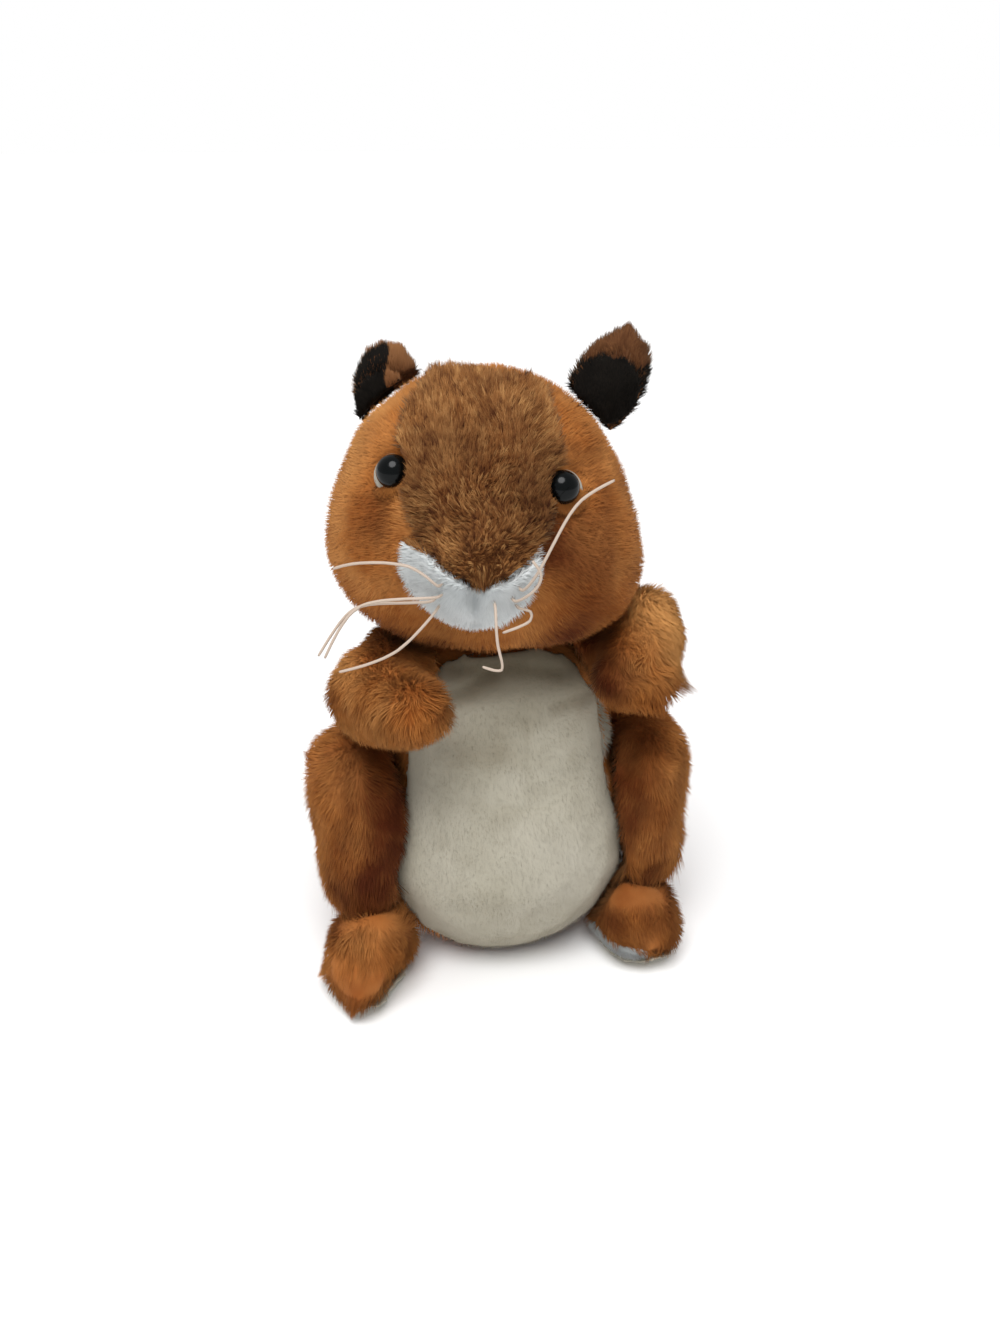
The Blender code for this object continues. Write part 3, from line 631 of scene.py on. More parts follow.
def hair_mesh(name, roots, tips, normals, width, density, soft, tint, deep, rng):
    """One cone a hair, each with its own patch of the map and normals that lean to the skin's by soft."""
    count, number = len(roots), len(HAIR_CORNERS)
    step = tips - roots
    axis = step / np.linalg.norm(step, axis=1, keepdims=True)
    side = unit(np.cross(axis, normals) + 1e-6)
    other = np.cross(axis, side)
    spin = rng.uniform(0, math.tau, count)
    first = side * np.cos(spin)[:, None] + other * np.sin(spin)[:, None]
    second = np.cross(axis, first)
    half = (width / 2 * MM * rng.uniform(0.75, 1.2, count) / np.sqrt(density))[:, None, None]
    x, y, z = (HAIR_CORNERS[None, :, k, None] for k in range(3))
    places = (
        roots[:, None] - normals[:, None] * ROOT_DEPTH * MM
        + (x * first[:, None] + y * second[:, None]) * half
        + z * (step + normals * ROOT_DEPTH * MM)[:, None]
    )
    triangles = (HAIR_FACES[None] + (np.arange(count) * number)[:, None, None]).reshape(-1, 3)
    data = bpy.data.meshes.new(name)
    data.from_pydata(places.reshape(-1, 3), [], triangles)
    grid = math.ceil(math.sqrt(count))
    cells = np.stack([np.arange(count) % grid, np.arange(count) // grid], axis=1)
    patches = (cells[:, None, None] + HAIR_SPOTS[None]) / grid
    data.uv_layers.new(name="OFBake").uv.foreach_set("vector", patches.astype(np.float32).ravel())
    for label, values in (("along", HAIR_CORNERS[:, 2]), ("tint", tint[:, None]), ("shade_light_and_tone", deep[:, None])):
        set_numbers(data, label, np.broadcast_to(values, (count, number)))
    data.shade_smooth()
    data.update()
    own = np.empty(len(data.vertices) * 3)
    data.vertices.foreach_get("normal", own)
    shown = unit(own.reshape(count, number, 3) * (1 - soft) + normals[:, None] * soft)
    data.normals_split_custom_set_from_vertices(shown.reshape(-1, 3))
    return data


# %% Grow a coat
FEWEST_HAIRS = 20  # a coat of fewer is left out
TIP_HEIGHT = 0.4  # how low a tip may hang over the floor, in mm


def coat(
    name, skin, look, count, length, width=0.34, lift=32, source=(0, 0, 0), along=(0, 0, 0),
    swirl=18, jitter=10, lock=2.6, pull=0.45, apart=(), margin=1.2, clear=(), spread=0.22,
    shag=None, shag_length=0.5, tufts=(), seed=1, soft=0.85, keep=None, outside=(), lock_tint=0.25,
    shade_light_and_tone=None, crush=0.16, bare=(), under=(), onto=None, behind=0.45,
):
    """Grows hairs on a skin; lengths in mm, angles in degrees.

    Hairs run away from source, plus along. keep(points) says where they grow. apart names solids with
    no hair over them, outside those that roots don't lie in, and clear those that hair would be buried
    in. shag(points) is 0 to 1 where hair is wilder, and longer by shag_length. tufts are
    (place, radius, tip) that draw hairs together into a point. lock_tint is the share of its tint that
    a hair has from its lock, the function for painted shade and light says by place how much deeper
    (above zero) or paler (below zero) its colour is painted, and crush how much that wanders at random.
    bare are (place, axis, radius) of round spots that hairs stop short of. under names solids that lie
    over the roots, onto the one that a panel is sewn on, whose inner face stays free, and behind is the
    share of hairs, thicker ones, grown on the far side.
    """
    rng, slot = np.random.default_rng(seed), slots[look.name]
    roots, normals, area = roots_on(skin, count, rng)
    stay = np.ones(count, bool) if keep is None else keep(roots)
    roots, normals = roots[stay], normals[stay]
    stay = may_grow(roots, normals, outside, apart, margin, clear, onto, under)
    view = unit(np.array(camera.matrix_world.translation) - roots)
    density = np.where((view * normals).sum(axis=1) < TURNED_AWAY, behind, 1.0)
    stay &= rng.uniform(size=len(roots)) < density
    roots, normals, density = roots[stay], normals[stay], density[stay]
    count = len(roots)
    if count < FEWEST_HAIRS:
        return
    wild = np.zeros(count) if shag is None else shag(roots / MM)

    run = unit(roots - np.array(source) * MM) * float(np.any(source)) + np.array(along, float)
    run = unit(run - normals * (run * normals).sum(axis=1, keepdims=True))
    across = np.cross(normals, run)
    turn = drift(roots, 0.014, seed + 5) * swirl + rng.normal(size=count) * jitter
    turn = np.radians(turn + wild * drift(roots, 0.005, seed + 6) * 70)
    rise = np.radians(np.clip(lift + rng.normal(size=count) * 7 + wild * 14, 8, 85))
    lay = run * np.cos(turn)[:, None] + across * np.sin(turn)[:, None]
    way = lay * np.cos(rise)[:, None] + normals * np.sin(rise)[:, None]
    reach = length * MM * (1 + rng.normal(size=count) * spread)
    reach = reach * (1 + 0.12 * drift(roots, 0.009, seed + 7))
    reach = np.clip(reach * (1 + shag_length * wild), 0.4 * length * MM, 1.8 * length * MM)
    tips = roots + way * reach[:, None]

    if lock:
        middles = rng.choice(count, min(int(area / (lock * MM) ** 2), count), replace=False)
        tips, lock_of = drawn_to_locks(roots, tips, middles, pull * (1 + wild * 0.6), rng)
    tint = rng.normal(0.5, 0.2, count)
    if lock:
        tint = tint * (1 - lock_tint) + rng.normal(0.5, 0.28, len(middles))[lock_of] * lock_tint
    tint = np.clip(tint + 0.1 * drift(roots, 0.004, seed + 9), 0, 1)
    # Painted shade and light by place; crush adds random patches of tone to it.
    deep = np.zeros(count)
    if shade_light_and_tone is not None:
        fine, broad = drift(roots, 0.0045, seed + 3), drift(roots, 0.011, seed + 4)
        deep = shade_light_and_tone(roots / MM) + crush * (0.6 * fine + 0.6 * broad)
    for tuft in tufts:
        tips = drawn_to_tuft(roots, tips, tuft, rng)
    for spot in bare:
        tips, good = stopped_short(roots, tips, spot)
        roots, normals, density, tips, tint, deep = (
            values[good] for values in (roots, normals, density, tips, tint, deep)
        )
    tips[:, 2] = np.maximum(tips[:, 2], TIP_HEIGHT * MM)

    data = hair_mesh(name, roots, tips, normals, width, density, soft, tint, deep, rng)
    data.materials.append(look)
    made = stand(name, data)
    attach(made, "root")
    print(f"{name}: {len(roots)} hairs, {len(data.polygons)} triangles")


def finish_skin(skin, node, look, along=0.3, shade_light_and_tone=None):
    """Gives a skin its look, and lets it stand for its solid."""
    places, _, _ = triangles_of(skin.data)
    # The skin takes the painted shade and light of its place, as its pile does.
    deep = np.zeros(len(places)) if shade_light_and_tone is None else shade_light_and_tone(places / MM)
    for label, values in (("along", deep * 0 + along), ("tint", deep * 0 + 0.5), ("shade_light_and_tone", deep)):
        set_numbers(skin.data, label, values)
    skin.data.materials.append(look)
    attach(skin, "root")
    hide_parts(node)
    print(f"{skin.name}: {len(skin.data.polygons)} faces")


# %% [markdown]
# ## Where the eyes sit
# The coats must leave the eyes free, so their places are read first, from the flat back of each button.

# %% Read the eyes' places


def flat_of(node, facing=None):
    """Middle and outward direction of the largest flat of a solid."""
    places, corners, _ = triangles_of(nodes[node].data)
    a, b, c = (places[corners[:, k]] for k in range(3))
    cross = np.cross(b - a, c - a)
    area = np.linalg.norm(cross, axis=1)
    normals = unit(cross)
    kinds, index = np.unique(normals.round(2), axis=0, return_inverse=True)
    index = index.ravel()
    sizes = np.bincount(index, weights=area)
    if facing is not None:
        sizes = sizes * (kinds @ facing > 0.5)
    chosen = np.nonzero(index == np.argmax(sizes))[0]
    normal = unit((cross[chosen]).sum(axis=0))
    heights = places[corners[chosen]].mean(axis=1) @ normal
    chosen = chosen[np.abs(heights - heights[np.argmax(area[chosen])]) < 0.3 * MM]
    spots = places[np.unique(corners[chosen])]
    side = unit(np.cross(normal, (0, 0, 1)))
    up = np.cross(side, normal)
    middle = sum(
        direction * ((spots @ direction).max() + (spots @ direction).min()) / 2 for direction in (side, up)
    ) + normal * (spots @ normal).mean()
    return middle, normal, np.linalg.norm(spots - middle, axis=1).max()


SIDES = ("right", "left")
eyes = {}
for side in SIDES:
    middle, back, _ = flat_of(f"eye_{side}")
    eyes[side] = (middle, -back)
    print(side, "eye at", [round(c / MM, 1) for c in middle])
button_spots = []
for side, outward in (("right", -1), ("left", 1)):
    middle, facing = eyes[side]
    button_spots.append((middle, facing, 4.8 * MM))
    button_spots.append((middle + np.array((outward * 2.4, 0.9, 1.2)) * MM, facing, 4.9 * MM))

# %% [markdown]
# ## The head
# Short orange-brown plush that runs away from the nose over the cheeks. The eyes pull the cloth in
# around them, which leaves soft hollows and a fold under each. Places are given as pixels of the
# photograph here and below.

# %% Sew the head
ARMS, LEGS = (tuple(f"{limb}_{side}" for side in SIDES) for limb in ("arm", "leg"))
head = skin_of("head", "head_cloth", 1.9 * MM, 0.0022)
ripple(head, 0.45, 15, 3)
press(head, "head", [(pixel, (0, 2.2, -0.2), 8) for pixel in ((391, 472), (567, 482))])
crease(head, "head", [
    ([(374, 500), (378, 520), (374, 548)], 1.5, 4.5), ([(546, 505), (549, 530), (552, 556)], 1.6, 4),
    ([(584, 470), (594, 460), (604, 456)], 1.8, 3.2), ([(598, 500), (604, 530), (598, 560)], -0.9, 7),
    ([(352, 470), (346, 520), (350, 570)], -0.7, 7),
])
# Painted shade in the hollows and folds round the eyes, on the lower cheeks and in the band under the chin
# that the head shades; painted light on the upper left and left side of the head and on a few ridges, where
# the lamp falls.
head_light_and_shade = shade_light_and_tone_over("head", [
    ([(370, 503), (374, 526)], 5, 0.7), ([(355, 535), (362, 562)], 7, 0.3),
    ([(548, 505), (552, 560)], 5, 1.1), ([(350, 500), (352, 520)], 4, 0.3),
    ([(586, 468), (600, 457)], 3.4, 0.5), ([(565, 560), (590, 600), (560, 640)], 10, 0.55),
    ([(400, 642), (450, 654), (520, 654), (590, 630)], 7, 0.85), ([(640, 500), (645, 580)], 9, 0.3),
    ([(345, 600), (370, 632)], 7, 0.3), ([(360, 430), (385, 395)], 13, -0.55),
    ([(345, 480), (340, 530)], 8, -0.3), ([(590, 560), (620, 540)], 9, 0.15),
    ([(405, 505), (408, 535)], 3, -0.35), ([(596, 505), (612, 545)], 9, 0.2),
    ([(350, 570), (375, 590)], 6, -0.3),
])
finish_skin(head, "head", brown_plush, shade_light_and_tone=head_light_and_shade)
for side, below, start, radius in (("right", (386, 516), 483, 4.7), ("left", (566, 524), 488, 3.9)):
    middle, facing = eyes[side]
    coat(
        f"eye_fringe_{side}", head, brown_plush, 90000, 4.8, width=0.36, lift=43,
        source=seen_at(*below, "head"), lock=0, seed=12, shade_light_and_tone=head_light_and_shade, spread=0.1, jitter=8,
        bare=[(middle, facing, radius * MM)],
        keep=lambda points: (np.linalg.norm(points - middle, axis=1) < 9.5 * MM)
        & (across_camera(points)[1] > start),
    )
NOSE = seen_at(483, 585, "head")
MUZZLE_OUTLINE = [
    (405, 545), (404, 572), (409, 590), (422, 603), (446, 618), (474, 627), (500, 625), (518, 612),
    (531, 597), (537, 578), (540, 545), (533, 553), (522, 566), (504, 579), (482, 589), (460, 581),
    (436, 572), (414, 554),
]


def on_face(points):
    return points[:, 1] < -0.035


coat(
    "head_pile", head, brown_plush, 42000, 3.4, width=0.36, lift=31,
    source=NOSE + (0, 0, 4), along=(0, 0.1, -0.35), swirl=20, jitter=12, lock=3.2, pull=0.16, spread=0.1,
    apart=("face_blaze",), bare=button_spots, shade_light_and_tone=head_light_and_shade, soft=0.9, lock_tint=0.1,
    clear=("body", *ARMS, "ear_right", "ear_left"), seed=11,
    keep=lambda points: ~(on_face(points) & within(points, MUZZLE_OUTLINE)),
)

# %% [markdown]
# ## The blaze and the muzzle
# The blaze is a longer, coarser pile with pale and dark tips, brushed up from the nose. The muzzle is
# a short white plush, parted by a seam.

# %% Sew the blaze
NOSE_RIDGE = [(483, 520), (483, 560)]
# Deeper colour in the middle, at both sides and at the tip of the nose, and a touch paler along the ridge.
blaze_deepening = shade_light_and_tone_over("face_blaze", [
    (NOSE_RIDGE, 13, -0.05), ([(484, 583)], 4, 0.3), ([(470, 440), (490, 490)], 18, 0.55),
    ([(420, 470), (424, 520)], 10, 0.4), ([(540, 470), (536, 530)], 10, 0.4),
    ([(430, 385), (500, 385)], 12, 0.2),
])
blaze = skin_of("face_blaze", "blaze_cloth", 0.4 * MM, 0.0011, 2)
finish_skin(blaze, "face_blaze", mottled_plush, 0.1, blaze_deepening)
coat(
    "blaze_pile", blaze, mottled_plush, 62000, 3.4, width=0.29, lift=46, crush=0.1, onto="head",
    source=NOSE, along=(0, 0, 0.15), jitter=24, swirl=26, lock=1.1, pull=0.6, spread=0.25, seed=21,
    soft=0.5, lock_tint=0.6, shade_light_and_tone=blaze_deepening, outside=("head",),
    bare=[(*eyes["right"], 6.4 * MM), (*eyes["left"], 5.6 * MM)], shag_length=-0.3,
    shag=lambda points: 0.9 * np.exp(-((away_from(points, "face_blaze", NOSE_RIDGE) / 15) ** 2)),
    keep=lambda points: ~within(points, MUZZLE_OUTLINE),
    tufts=((seen_at(484, 576, "face_blaze"), 3.5, seen_at(483, 590, "muzzle") + (0, -2.2, -0.8)),),
)

# %% Sew the muzzle
# Deeper colour along the seam below the nose and just under the nose's tip.
muzzle_deepening = shade_light_and_tone_over("muzzle", [([(478, 596), (478, 626)], 1.6, 0.55), ([(483, 592)], 5, 0.3)])
muzzle = skin_of("muzzle", "muzzle_cloth", 0.5 * MM, 0.0009, 2)
finish_skin(muzzle, "muzzle", white_plush, 0.6, muzzle_deepening)
MUZZLE_WHOLE = MUZZLE_OUTLINE[:11] + [(520, 554), (482, 576), (440, 564), (421, 552), (408, 545)]
for name, skin, count, length, lift, spread_over in (
    ("muzzle_pile", muzzle, 14000, 2.5, 40, MUZZLE_WHOLE),
    ("muzzle_blaze_edge", blaze, 60000, 1.7, 40, MUZZLE_OUTLINE),
    ("muzzle_rim", head, 120000, 2.2, 42, MUZZLE_OUTLINE),
):
    coat(
        name, skin, white_plush, count, length, lift=lift, source=NOSE + (0, 0, 2),
        along=(0, 0, -0.35), lock=0, margin=0.2, seed=31, shade_light_and_tone=muzzle_deepening, spread=0.06, jitter=6, swirl=10,
        apart=("muzzle",) if skin == head else (), outside=() if skin == head else ("head",), soft=0.92,
        onto=None if skin == head else "head",
        keep=lambda points: on_face(points) & within(points, spread_over),
    )


def over_muzzle(points):
    x, y = across_camera(points)
    return ~within(points, MUZZLE_WHOLE) & (x > 407) & (y < 575)


coat(
    "muzzle_cheek_pile", muzzle, brown_plush, 13000, 3.2, lift=34, shade_light_and_tone=head_light_and_shade,
    source=NOSE + (0, 0, 4), along=(0, 0.1, -0.35), lock=0, seed=32, outside=("head",), onto="head",
    keep=lambda points: ~within(points, MUZZLE_WHOLE) & ~over_muzzle(points)
    & (across_camera(points)[0] < 460),
)
coat(
    "muzzle_brow_pile", muzzle, mottled_plush, 16000, 3.4, width=0.3, lift=44, shade_light_and_tone=blaze_deepening,
    source=NOSE, along=(0, 0, 0.15), jitter=24, lock=1.1, pull=0.6, spread=0.25, seed=33, lock_tint=0.6,
    outside=("head",), onto="head", keep=over_muzzle,
)

# %% [markdown]
# ## The eyes
# Glossy black buttons over a disc of pale felt. The solids are turned with few sides, so each is
# turned again with many.

# %% Turn the eyes
ROUND_SIDES = 40


def turned(name, profile, middle, facing):
    """Spins a profile of (radius, height) and stands it on a place."""
    line = bpy.data.meshes.new(name)
    points = [(radius, 0, height) for radius, height in profile]
    line.from_pydata(points, [(k, k + 1) for k in range(len(points) - 1)], [])
    made = stand(name, line)
    turning = made.modifiers.new("turning", "SCREW")
    turning.axis, turning.steps, turning.render_steps = "Z", ROUND_SIDES, ROUND_SIDES
    data = settled(made, name)
    shape = bmesh.new()
    shape.from_mesh(data)
    bmesh.ops.remove_doubles(shape, verts=shape.verts, dist=1e-6)
    bmesh.ops.recalc_face_normals(shape, faces=shape.faces)
    place = Vector(facing).to_track_quat("Z", "Y").to_matrix().to_4x4()
    place.translation = Vector(middle)
    bmesh.ops.transform(shape, matrix=place, verts=shape.verts)
    shape.to_mesh(data)
    shape.free()
    data.shade_smooth()
    return made


def hard_material(name, colour, roughness, coat_weight=0.0, specular=0.5, speck=0.0):
    made = bpy.data.materials.new(name)
    made.use_nodes = True
    tree = made.node_tree
    shader = tree.nodes["Principled BSDF"]
    mottle = mix_colours(
        tree, maths(tree, "MULTIPLY", noise_at(tree, 900, 3), speck), srgb(*colour),
        srgb(*(c * 0.6 for c in colour)),
    )
    tree.links.new(mottle, shader.inputs["Base Color"])
    rough = maths(tree, "MULTIPLY_ADD", noise_at(tree, 300, 2), roughness * 0.4, roughness * 0.8)
    tree.links.new(rough, shader.inputs["Roughness"])
    shader.inputs["Coat Weight"].default_value = coat_weight
    shader.inputs["Specular IOR Level"].default_value = specular
    return made


eye_plastic = hard_material("eye plastic", (3, 6, 7), 0.16, 0.05, 0.16, speck=0.2)
# The felt is greyed below white: painted shade of the socket that it sits in.
felt = hard_material("white felt", (178, 174, 162), 0.9, specular=0.2, speck=0.5)
washer_plastic = hard_material("washer plastic", (222, 222, 216), 0.42, speck=0.1)
filament = hard_material("whisker filament", (196, 178, 162), 0.5, specular=0.2, speck=0.15)
EYE_RADIUS, EYE_HEIGHT, STEM_RADIUS, STEM_LENGTH = 5.0 * MM, 4.6 * MM, 1.5 * MM, 11 * MM
FELT_BEVEL = 0.5 * MM
# Fur covers the felt below a line: how low the line is, and how far across it is lowest.
EYE_LIDS = {"right": (491, 366), "left": (494, 590)}
for side in SIDES:
    middle, facing = eyes[side]
    arc = [(EYE_RADIUS * math.cos(t), EYE_HEIGHT * math.sin(t)) for t in np.radians(np.linspace(90, 0, 13))]
    arc[0] = (0, EYE_HEIGHT)
    profile = arc + [(EYE_RADIUS * 0.96, -0.00025), (STEM_RADIUS, -0.0003), (STEM_RADIUS, -STEM_LENGTH)]
    eye = turned(f"eye_button_{side}", profile + [(0, -STEM_LENGTH)], middle, facing)
    eye.data.materials.append(eye_plastic)
    white_middle, _, white_radius = flat_of(f"eye_white_{side}", facing)
    rim = white_radius - FELT_BEVEL
    disc = [(0, 0.1 * MM), (rim, 0), (white_radius, -FELT_BEVEL), (rim, -1 * MM), (0, -1 * MM)]
    white = turned(f"eye_felt_{side}", disc, white_middle, facing)
    white.data.materials.append(felt)
    for piece, node, slot in (
        (eye, f"eye_{side}", "eye_plastic"), (white, f"eye_white_{side}", "felt_white"),
    ):
        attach(piece, "root")
        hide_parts(node)
    start, inner = EYE_LIDS[side]
    coat(
        f"eye_lid_{side}", white, brown_plush, 6000, 2.8, width=0.36, lift=36, lock=0, seed=35,
        source=middle / MM, spread=0.1, jitter=8, shade_light_and_tone=head_light_and_shade,
        keep=lambda points: ((points - white_middle) @ facing > -0.95 * MM)
        & (across_camera(points)[1] + 0.35 * np.abs(across_camera(points)[0] - inner) > start),
    )
    nodes[f"eye_washer_{side}"].data.materials.clear()
    nodes[f"eye_washer_{side}"].data.materials.append(washer_plastic)

# %% [markdown]
# ## The whiskers
# Stiff filaments. The solids follow the right way with few corners, so a Subdivision Surface rounds
# a copy of each.

# %% Round the whiskers
THREAD_ROUNDING = 0.04 * MM  # what the rounding takes off a thread is added first
whiskers = [node for node in sorted(nodes) if node.startswith("whisker")]
for node in whiskers:
    shape = merged(node, 0.00001)
    shape.normal_update()
    for vert in shape.verts:
        vert.co += vert.normal * THREAD_ROUNDING
    data = mesh_of(shape, f"{node}_thread")
    thread = stand(f"{node}_thread", data)
    rounding = thread.modifiers.new("rounding", "SUBSURF")
    rounding.levels = rounding.render_levels = 1
    data.materials.clear()
    data.materials.append(filament)
    data.shade_smooth()
    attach(thread, "root")
    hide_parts(node)
print("whiskers:", len(whiskers))

# %% [markdown]
# ## The ears
# Two leaves of plush with a tufted tip, lined in black.

# %% Sew the ears
# Above this line, drawn over the photograph, the front of an ear is brown; below it, black.
EAR_LINES = {"right": ((386, 406), (390, 352), (360, 338)), "left": ((560, 368), (598, 357), (654, 372))}
# One ear is painted paler and the other deeper: painted light and painted shade, as the lamp falls on each.
EAR_LIGHT_AND_SHADE = {"right": -0.4, "left": 0.6}
EAR_TUFTS = {
    "right": (((398, 350), 4.5, (404, 341)), ((382, 345), 4, (380, 338)), ((368, 352), 4, (364, 348))),
    "left": (((627, 330), 6, (631, 318)), ((643, 345), 4, (650, 348)), ((604, 345), 4, (598, 340))),
}


def is_dark(points, normals, side):
    """The front of the ear below its line, out to its edge."""
    x, y = across_camera(points)
    line = np.array(EAR_LINES[side], float)
    front = normals[:, 1] < 0.25
    x, y = x + 2.5 * drift(points, 0.003, 45), y + 2.5 * drift(points, 0.003, 46)
    if side == "right":
        return front & (x < np.interp(-y, -line[:, 1], line[:, 0]))
    return front & (y > np.interp(x, line[:, 0], line[:, 1]))


for side in SIDES:
    node = f"ear_{side}"
    ear = skin_of(node, f"ear_cloth_{side}", 1.2 * MM, 0.0012, 4)
    if side == "right":
        press(ear, node, [((357, 415), (3.5, 0, 2), 5)])
    finish_skin(ear, node, ear_plush)
    tree = trees[node]

    def dark(points, side=side, tree=tree):
        normals = np.array([tree.find_nearest(Vector(point))[1] for point in points])
        return is_dark(points, normals, side)

    def ear_light_and_shade(points, side=side):
        return np.full(len(points), EAR_LIGHT_AND_SHADE[side])

    tufts = tufts_on(node, EAR_TUFTS[side])
    coat(
        f"ear_pile_{side}", ear, ear_plush, 7200, 3.2, lift=34, along=(0, 0, 1),
        clear=("head",), lock=2.2, pull=0.4, seed=41, keep=lambda points: ~dark(points), tufts=tufts,
        shade_light_and_tone=ear_light_and_shade,
    )
    coat(
        f"ear_edge_pile_{side}", ear, black_plush, 7200, 3.0, lift=32, along=(0, 0, 0.6),
        clear=("head",), lock=2.0, pull=0.4, seed=42, keep=dark,
    )
    lining = skin_of(f"ear_lining_{side}", f"ear_lining_cloth_{side}", 0.15 * MM, 0.0007, 1)
    finish_skin(lining, f"ear_lining_{side}", black_plush, 0.4)
    coat(
        f"ear_lining_pile_{side}", lining, black_plush, 4200, 2.4, lift=32, along=(0, 0, 1),
        clear=("head", node), lock=1.8, seed=43, keep=lambda points: free_of(points, node) & dark(points),
    )
    coat(
        f"ear_tip_pile_{side}", lining, ear_plush, 4200, 2.6, lift=36, along=(0, 0, 1),
        clear=("head", node), lock=1.8, seed=44, tufts=tufts, shade_light_and_tone=ear_light_and_shade,
        keep=lambda points: free_of(points, node) & ~dark(points),
    )

# %% [markdown]
# ## Body and belly
# The back and flanks are brown plush. The belly is a cream cloth with a very short nap, and it shows
# the pull of the stuffing: shallow folds under the chin, a faint crease and the seam down its middle.

# %% Sew the body and the belly
body = skin_of("body", "body_cloth", 2.2 * MM, 0.0025)
ripple(body, 0.5, 16, 5)
FLANK_PRESSES = (((578, 672), 9), ((606, 735), 7), ((613, 790), 7))
press(body, "body", [(pixel, (1.2, -2.2, 0.5), radius) for pixel, radius in FLANK_PRESSES])
finish_skin(body, "body", brown_plush)
BELLY_OUTLINE = [
    (430, 630), (455, 645), (412, 745), (410, 860), (422, 903), (452, 932), (500, 944), (550, 934),
    (594, 900), (617, 850), (618, 800), (610, 700), (596, 690), (590, 620),
]


def on_belly(points):
    return (points[:, 1] < -0.012) & within(points, BELLY_OUTLINE)


coat(
    "body_pile", body, brown_plush, 22000, 4.4, width=0.4, along=(0, 0, -1),
    apart=("belly_panel",), seed=51, soft=0.9, lock_tint=0.1, pull=0.2,
    keep=lambda points: (points[:, 2] > 2.6 * MM) & ~on_belly(points),
    clear=("head", *ARMS, *LEGS, "foot_right", "foot_left", "tail"),
)
belly = skin_of("belly_panel", "belly_cloth", 0.1 * MM, 0.0014, 11)
ripple(belly, 0.12, 12, 6)
BELLY_FOLDS = [
    ([(440, 700), (466, 691), (492, 676)], 1.3, 2.6), ([(556, 708), (580, 700), (602, 690)], 1.3, 2.6),
    ([(452, 672), (500, 668), (560, 674)], 1.0, 3.0), ([(440, 745), (470, 754), (500, 752)], 0.9, 4.5),
    ([(498, 805), (522, 810), (552, 806)], 0.35, 1.1), ([(527, 700), (528, 800), (525, 905)], 0.25, 0.9),
    ([(470, 705), (500, 700), (540, 705)], -0.6, 4), ([(560, 684), (590, 672)], -0.7, 3),
]
crease(belly, "belly_panel", BELLY_FOLDS, way=(0, 0.95, 0.3))
# Painted shade in the folds, in the band under the chin that the head shades and along the rims, a faint
# deeper line on the crease and the seam, and painted light on the lower right.
belly_shade_and_light = shade_light_and_tone_over("belly_panel", [
    ([(442, 700), (468, 692), (490, 678)], 3.2, 0.4), ([(430, 646), (500, 652), (590, 646)], 12, 0.95),
    ([(556, 709), (580, 701), (602, 691)], 2.4, 0.34), ([(560, 690), (500, 712)], 12, 0.3),
    ([(452, 672), (500, 669), (560, 675)], 2.2, 0.25), ([(560, 850), (575, 880)], 16, -0.35),
    ([(465, 752), (495, 754)], 6, 0.4), ([(498, 806), (522, 811), (552, 807)], 0.8, 0.16),
    ([(527, 720), (528, 800), (525, 905)], 0.7, 0.1),
    ([(402, 740), (398, 850), (412, 905)], 2.6, 0.35), ([(440, 932), (500, 948), (560, 932)], 2.2, 0.4),
    ([(612, 740), (622, 850), (600, 905)], 2.2, 0.3),
])
finish_skin(belly, "belly_panel", cream_plush, 0.6, belly_shade_and_light)
coat(
    "belly_nap", belly, cream_plush, 22000, 1.2, width=0.24, lift=40, along=(0, 0, -1),
    lock=0, seed=61, clear=("body", "head", *ARMS), shade_light_and_tone=belly_shade_and_light,
    keep=lambda points: free_of(points, "body"),
)
coat(
    "belly_edge_nap", body, cream_plush, 100000, 3.0, lift=50, along=(0, 0, -1),
    lock=0, seed=62, under=("belly_panel", "head", *ARMS, *LEGS), behind=0, keep=on_belly, spread=0.1,
    shade_light_and_tone=lambda points: belly_shade_and_light(points) * 0.6,
)

# %% [markdown]
# ## Arms, legs and feet
# The same brown plush, shaggier on the paws and toes, where handling has drawn it into locks.

# %% Sew the arms
ARM_PRESSES = {
    "right": [((345, 732), (1.5, 1, 4.0), 9)],
    "left": [((668, 690), (3.2, -1.5, -1.0), 9), ((655, 706), (1.5, -1, -1.5), 7),
             ((580, 656), (5.5, 1.2, 0), 9), ((612, 702), (1.5, 0, 3.0), 7)],
}
ARM_FOLDS = {
    "right": [([(352, 672), (372, 668)], 1.0, 4), ([(395, 668), (405, 690), (398, 712)], 1.0, 3.5)],
    "left": [([(628, 664), (640, 666), (652, 664)], 1.8, 3.2), ([(604, 640), (612, 676)], 1.0, 4)],
}
# Painted shade on the inner sides by the belly, under the head and in the folds; painted light on the tops
# of the shoulders and the outer sides, where the lamp falls.
ARM_SHADE_AND_LIGHT = {
    "right": [([(400, 628), (392, 640)], 8, 0.8), ([(330, 700), (345, 715)], 6, 0.3),
              ([(420, 690)], 7, 0.3), ([(448, 690), (440, 715)], 4, 0.3), ([(372, 652), (392, 655)], 5, 0.3),
              ([(335, 640), (345, 680)], 8, -0.6), ([(375, 690), (385, 720)], 6, -0.2)],
    "left": [([(588, 625), (594, 655), (604, 684)], 9, 1.4), ([(628, 663), (650, 665)], 4.5, 0.8),
             ([(650, 706), (670, 700)], 6, 0.3), ([(664, 640), (668, 668)], 5, 0.15),
             ([(636, 590), (672, 612)], 12, -1.5), ([(680, 640), (684, 670)], 5, -0.5),
             ([(655, 665)], 16, -0.35), ([(622, 686), (636, 690)], 4, -0.4)],
}
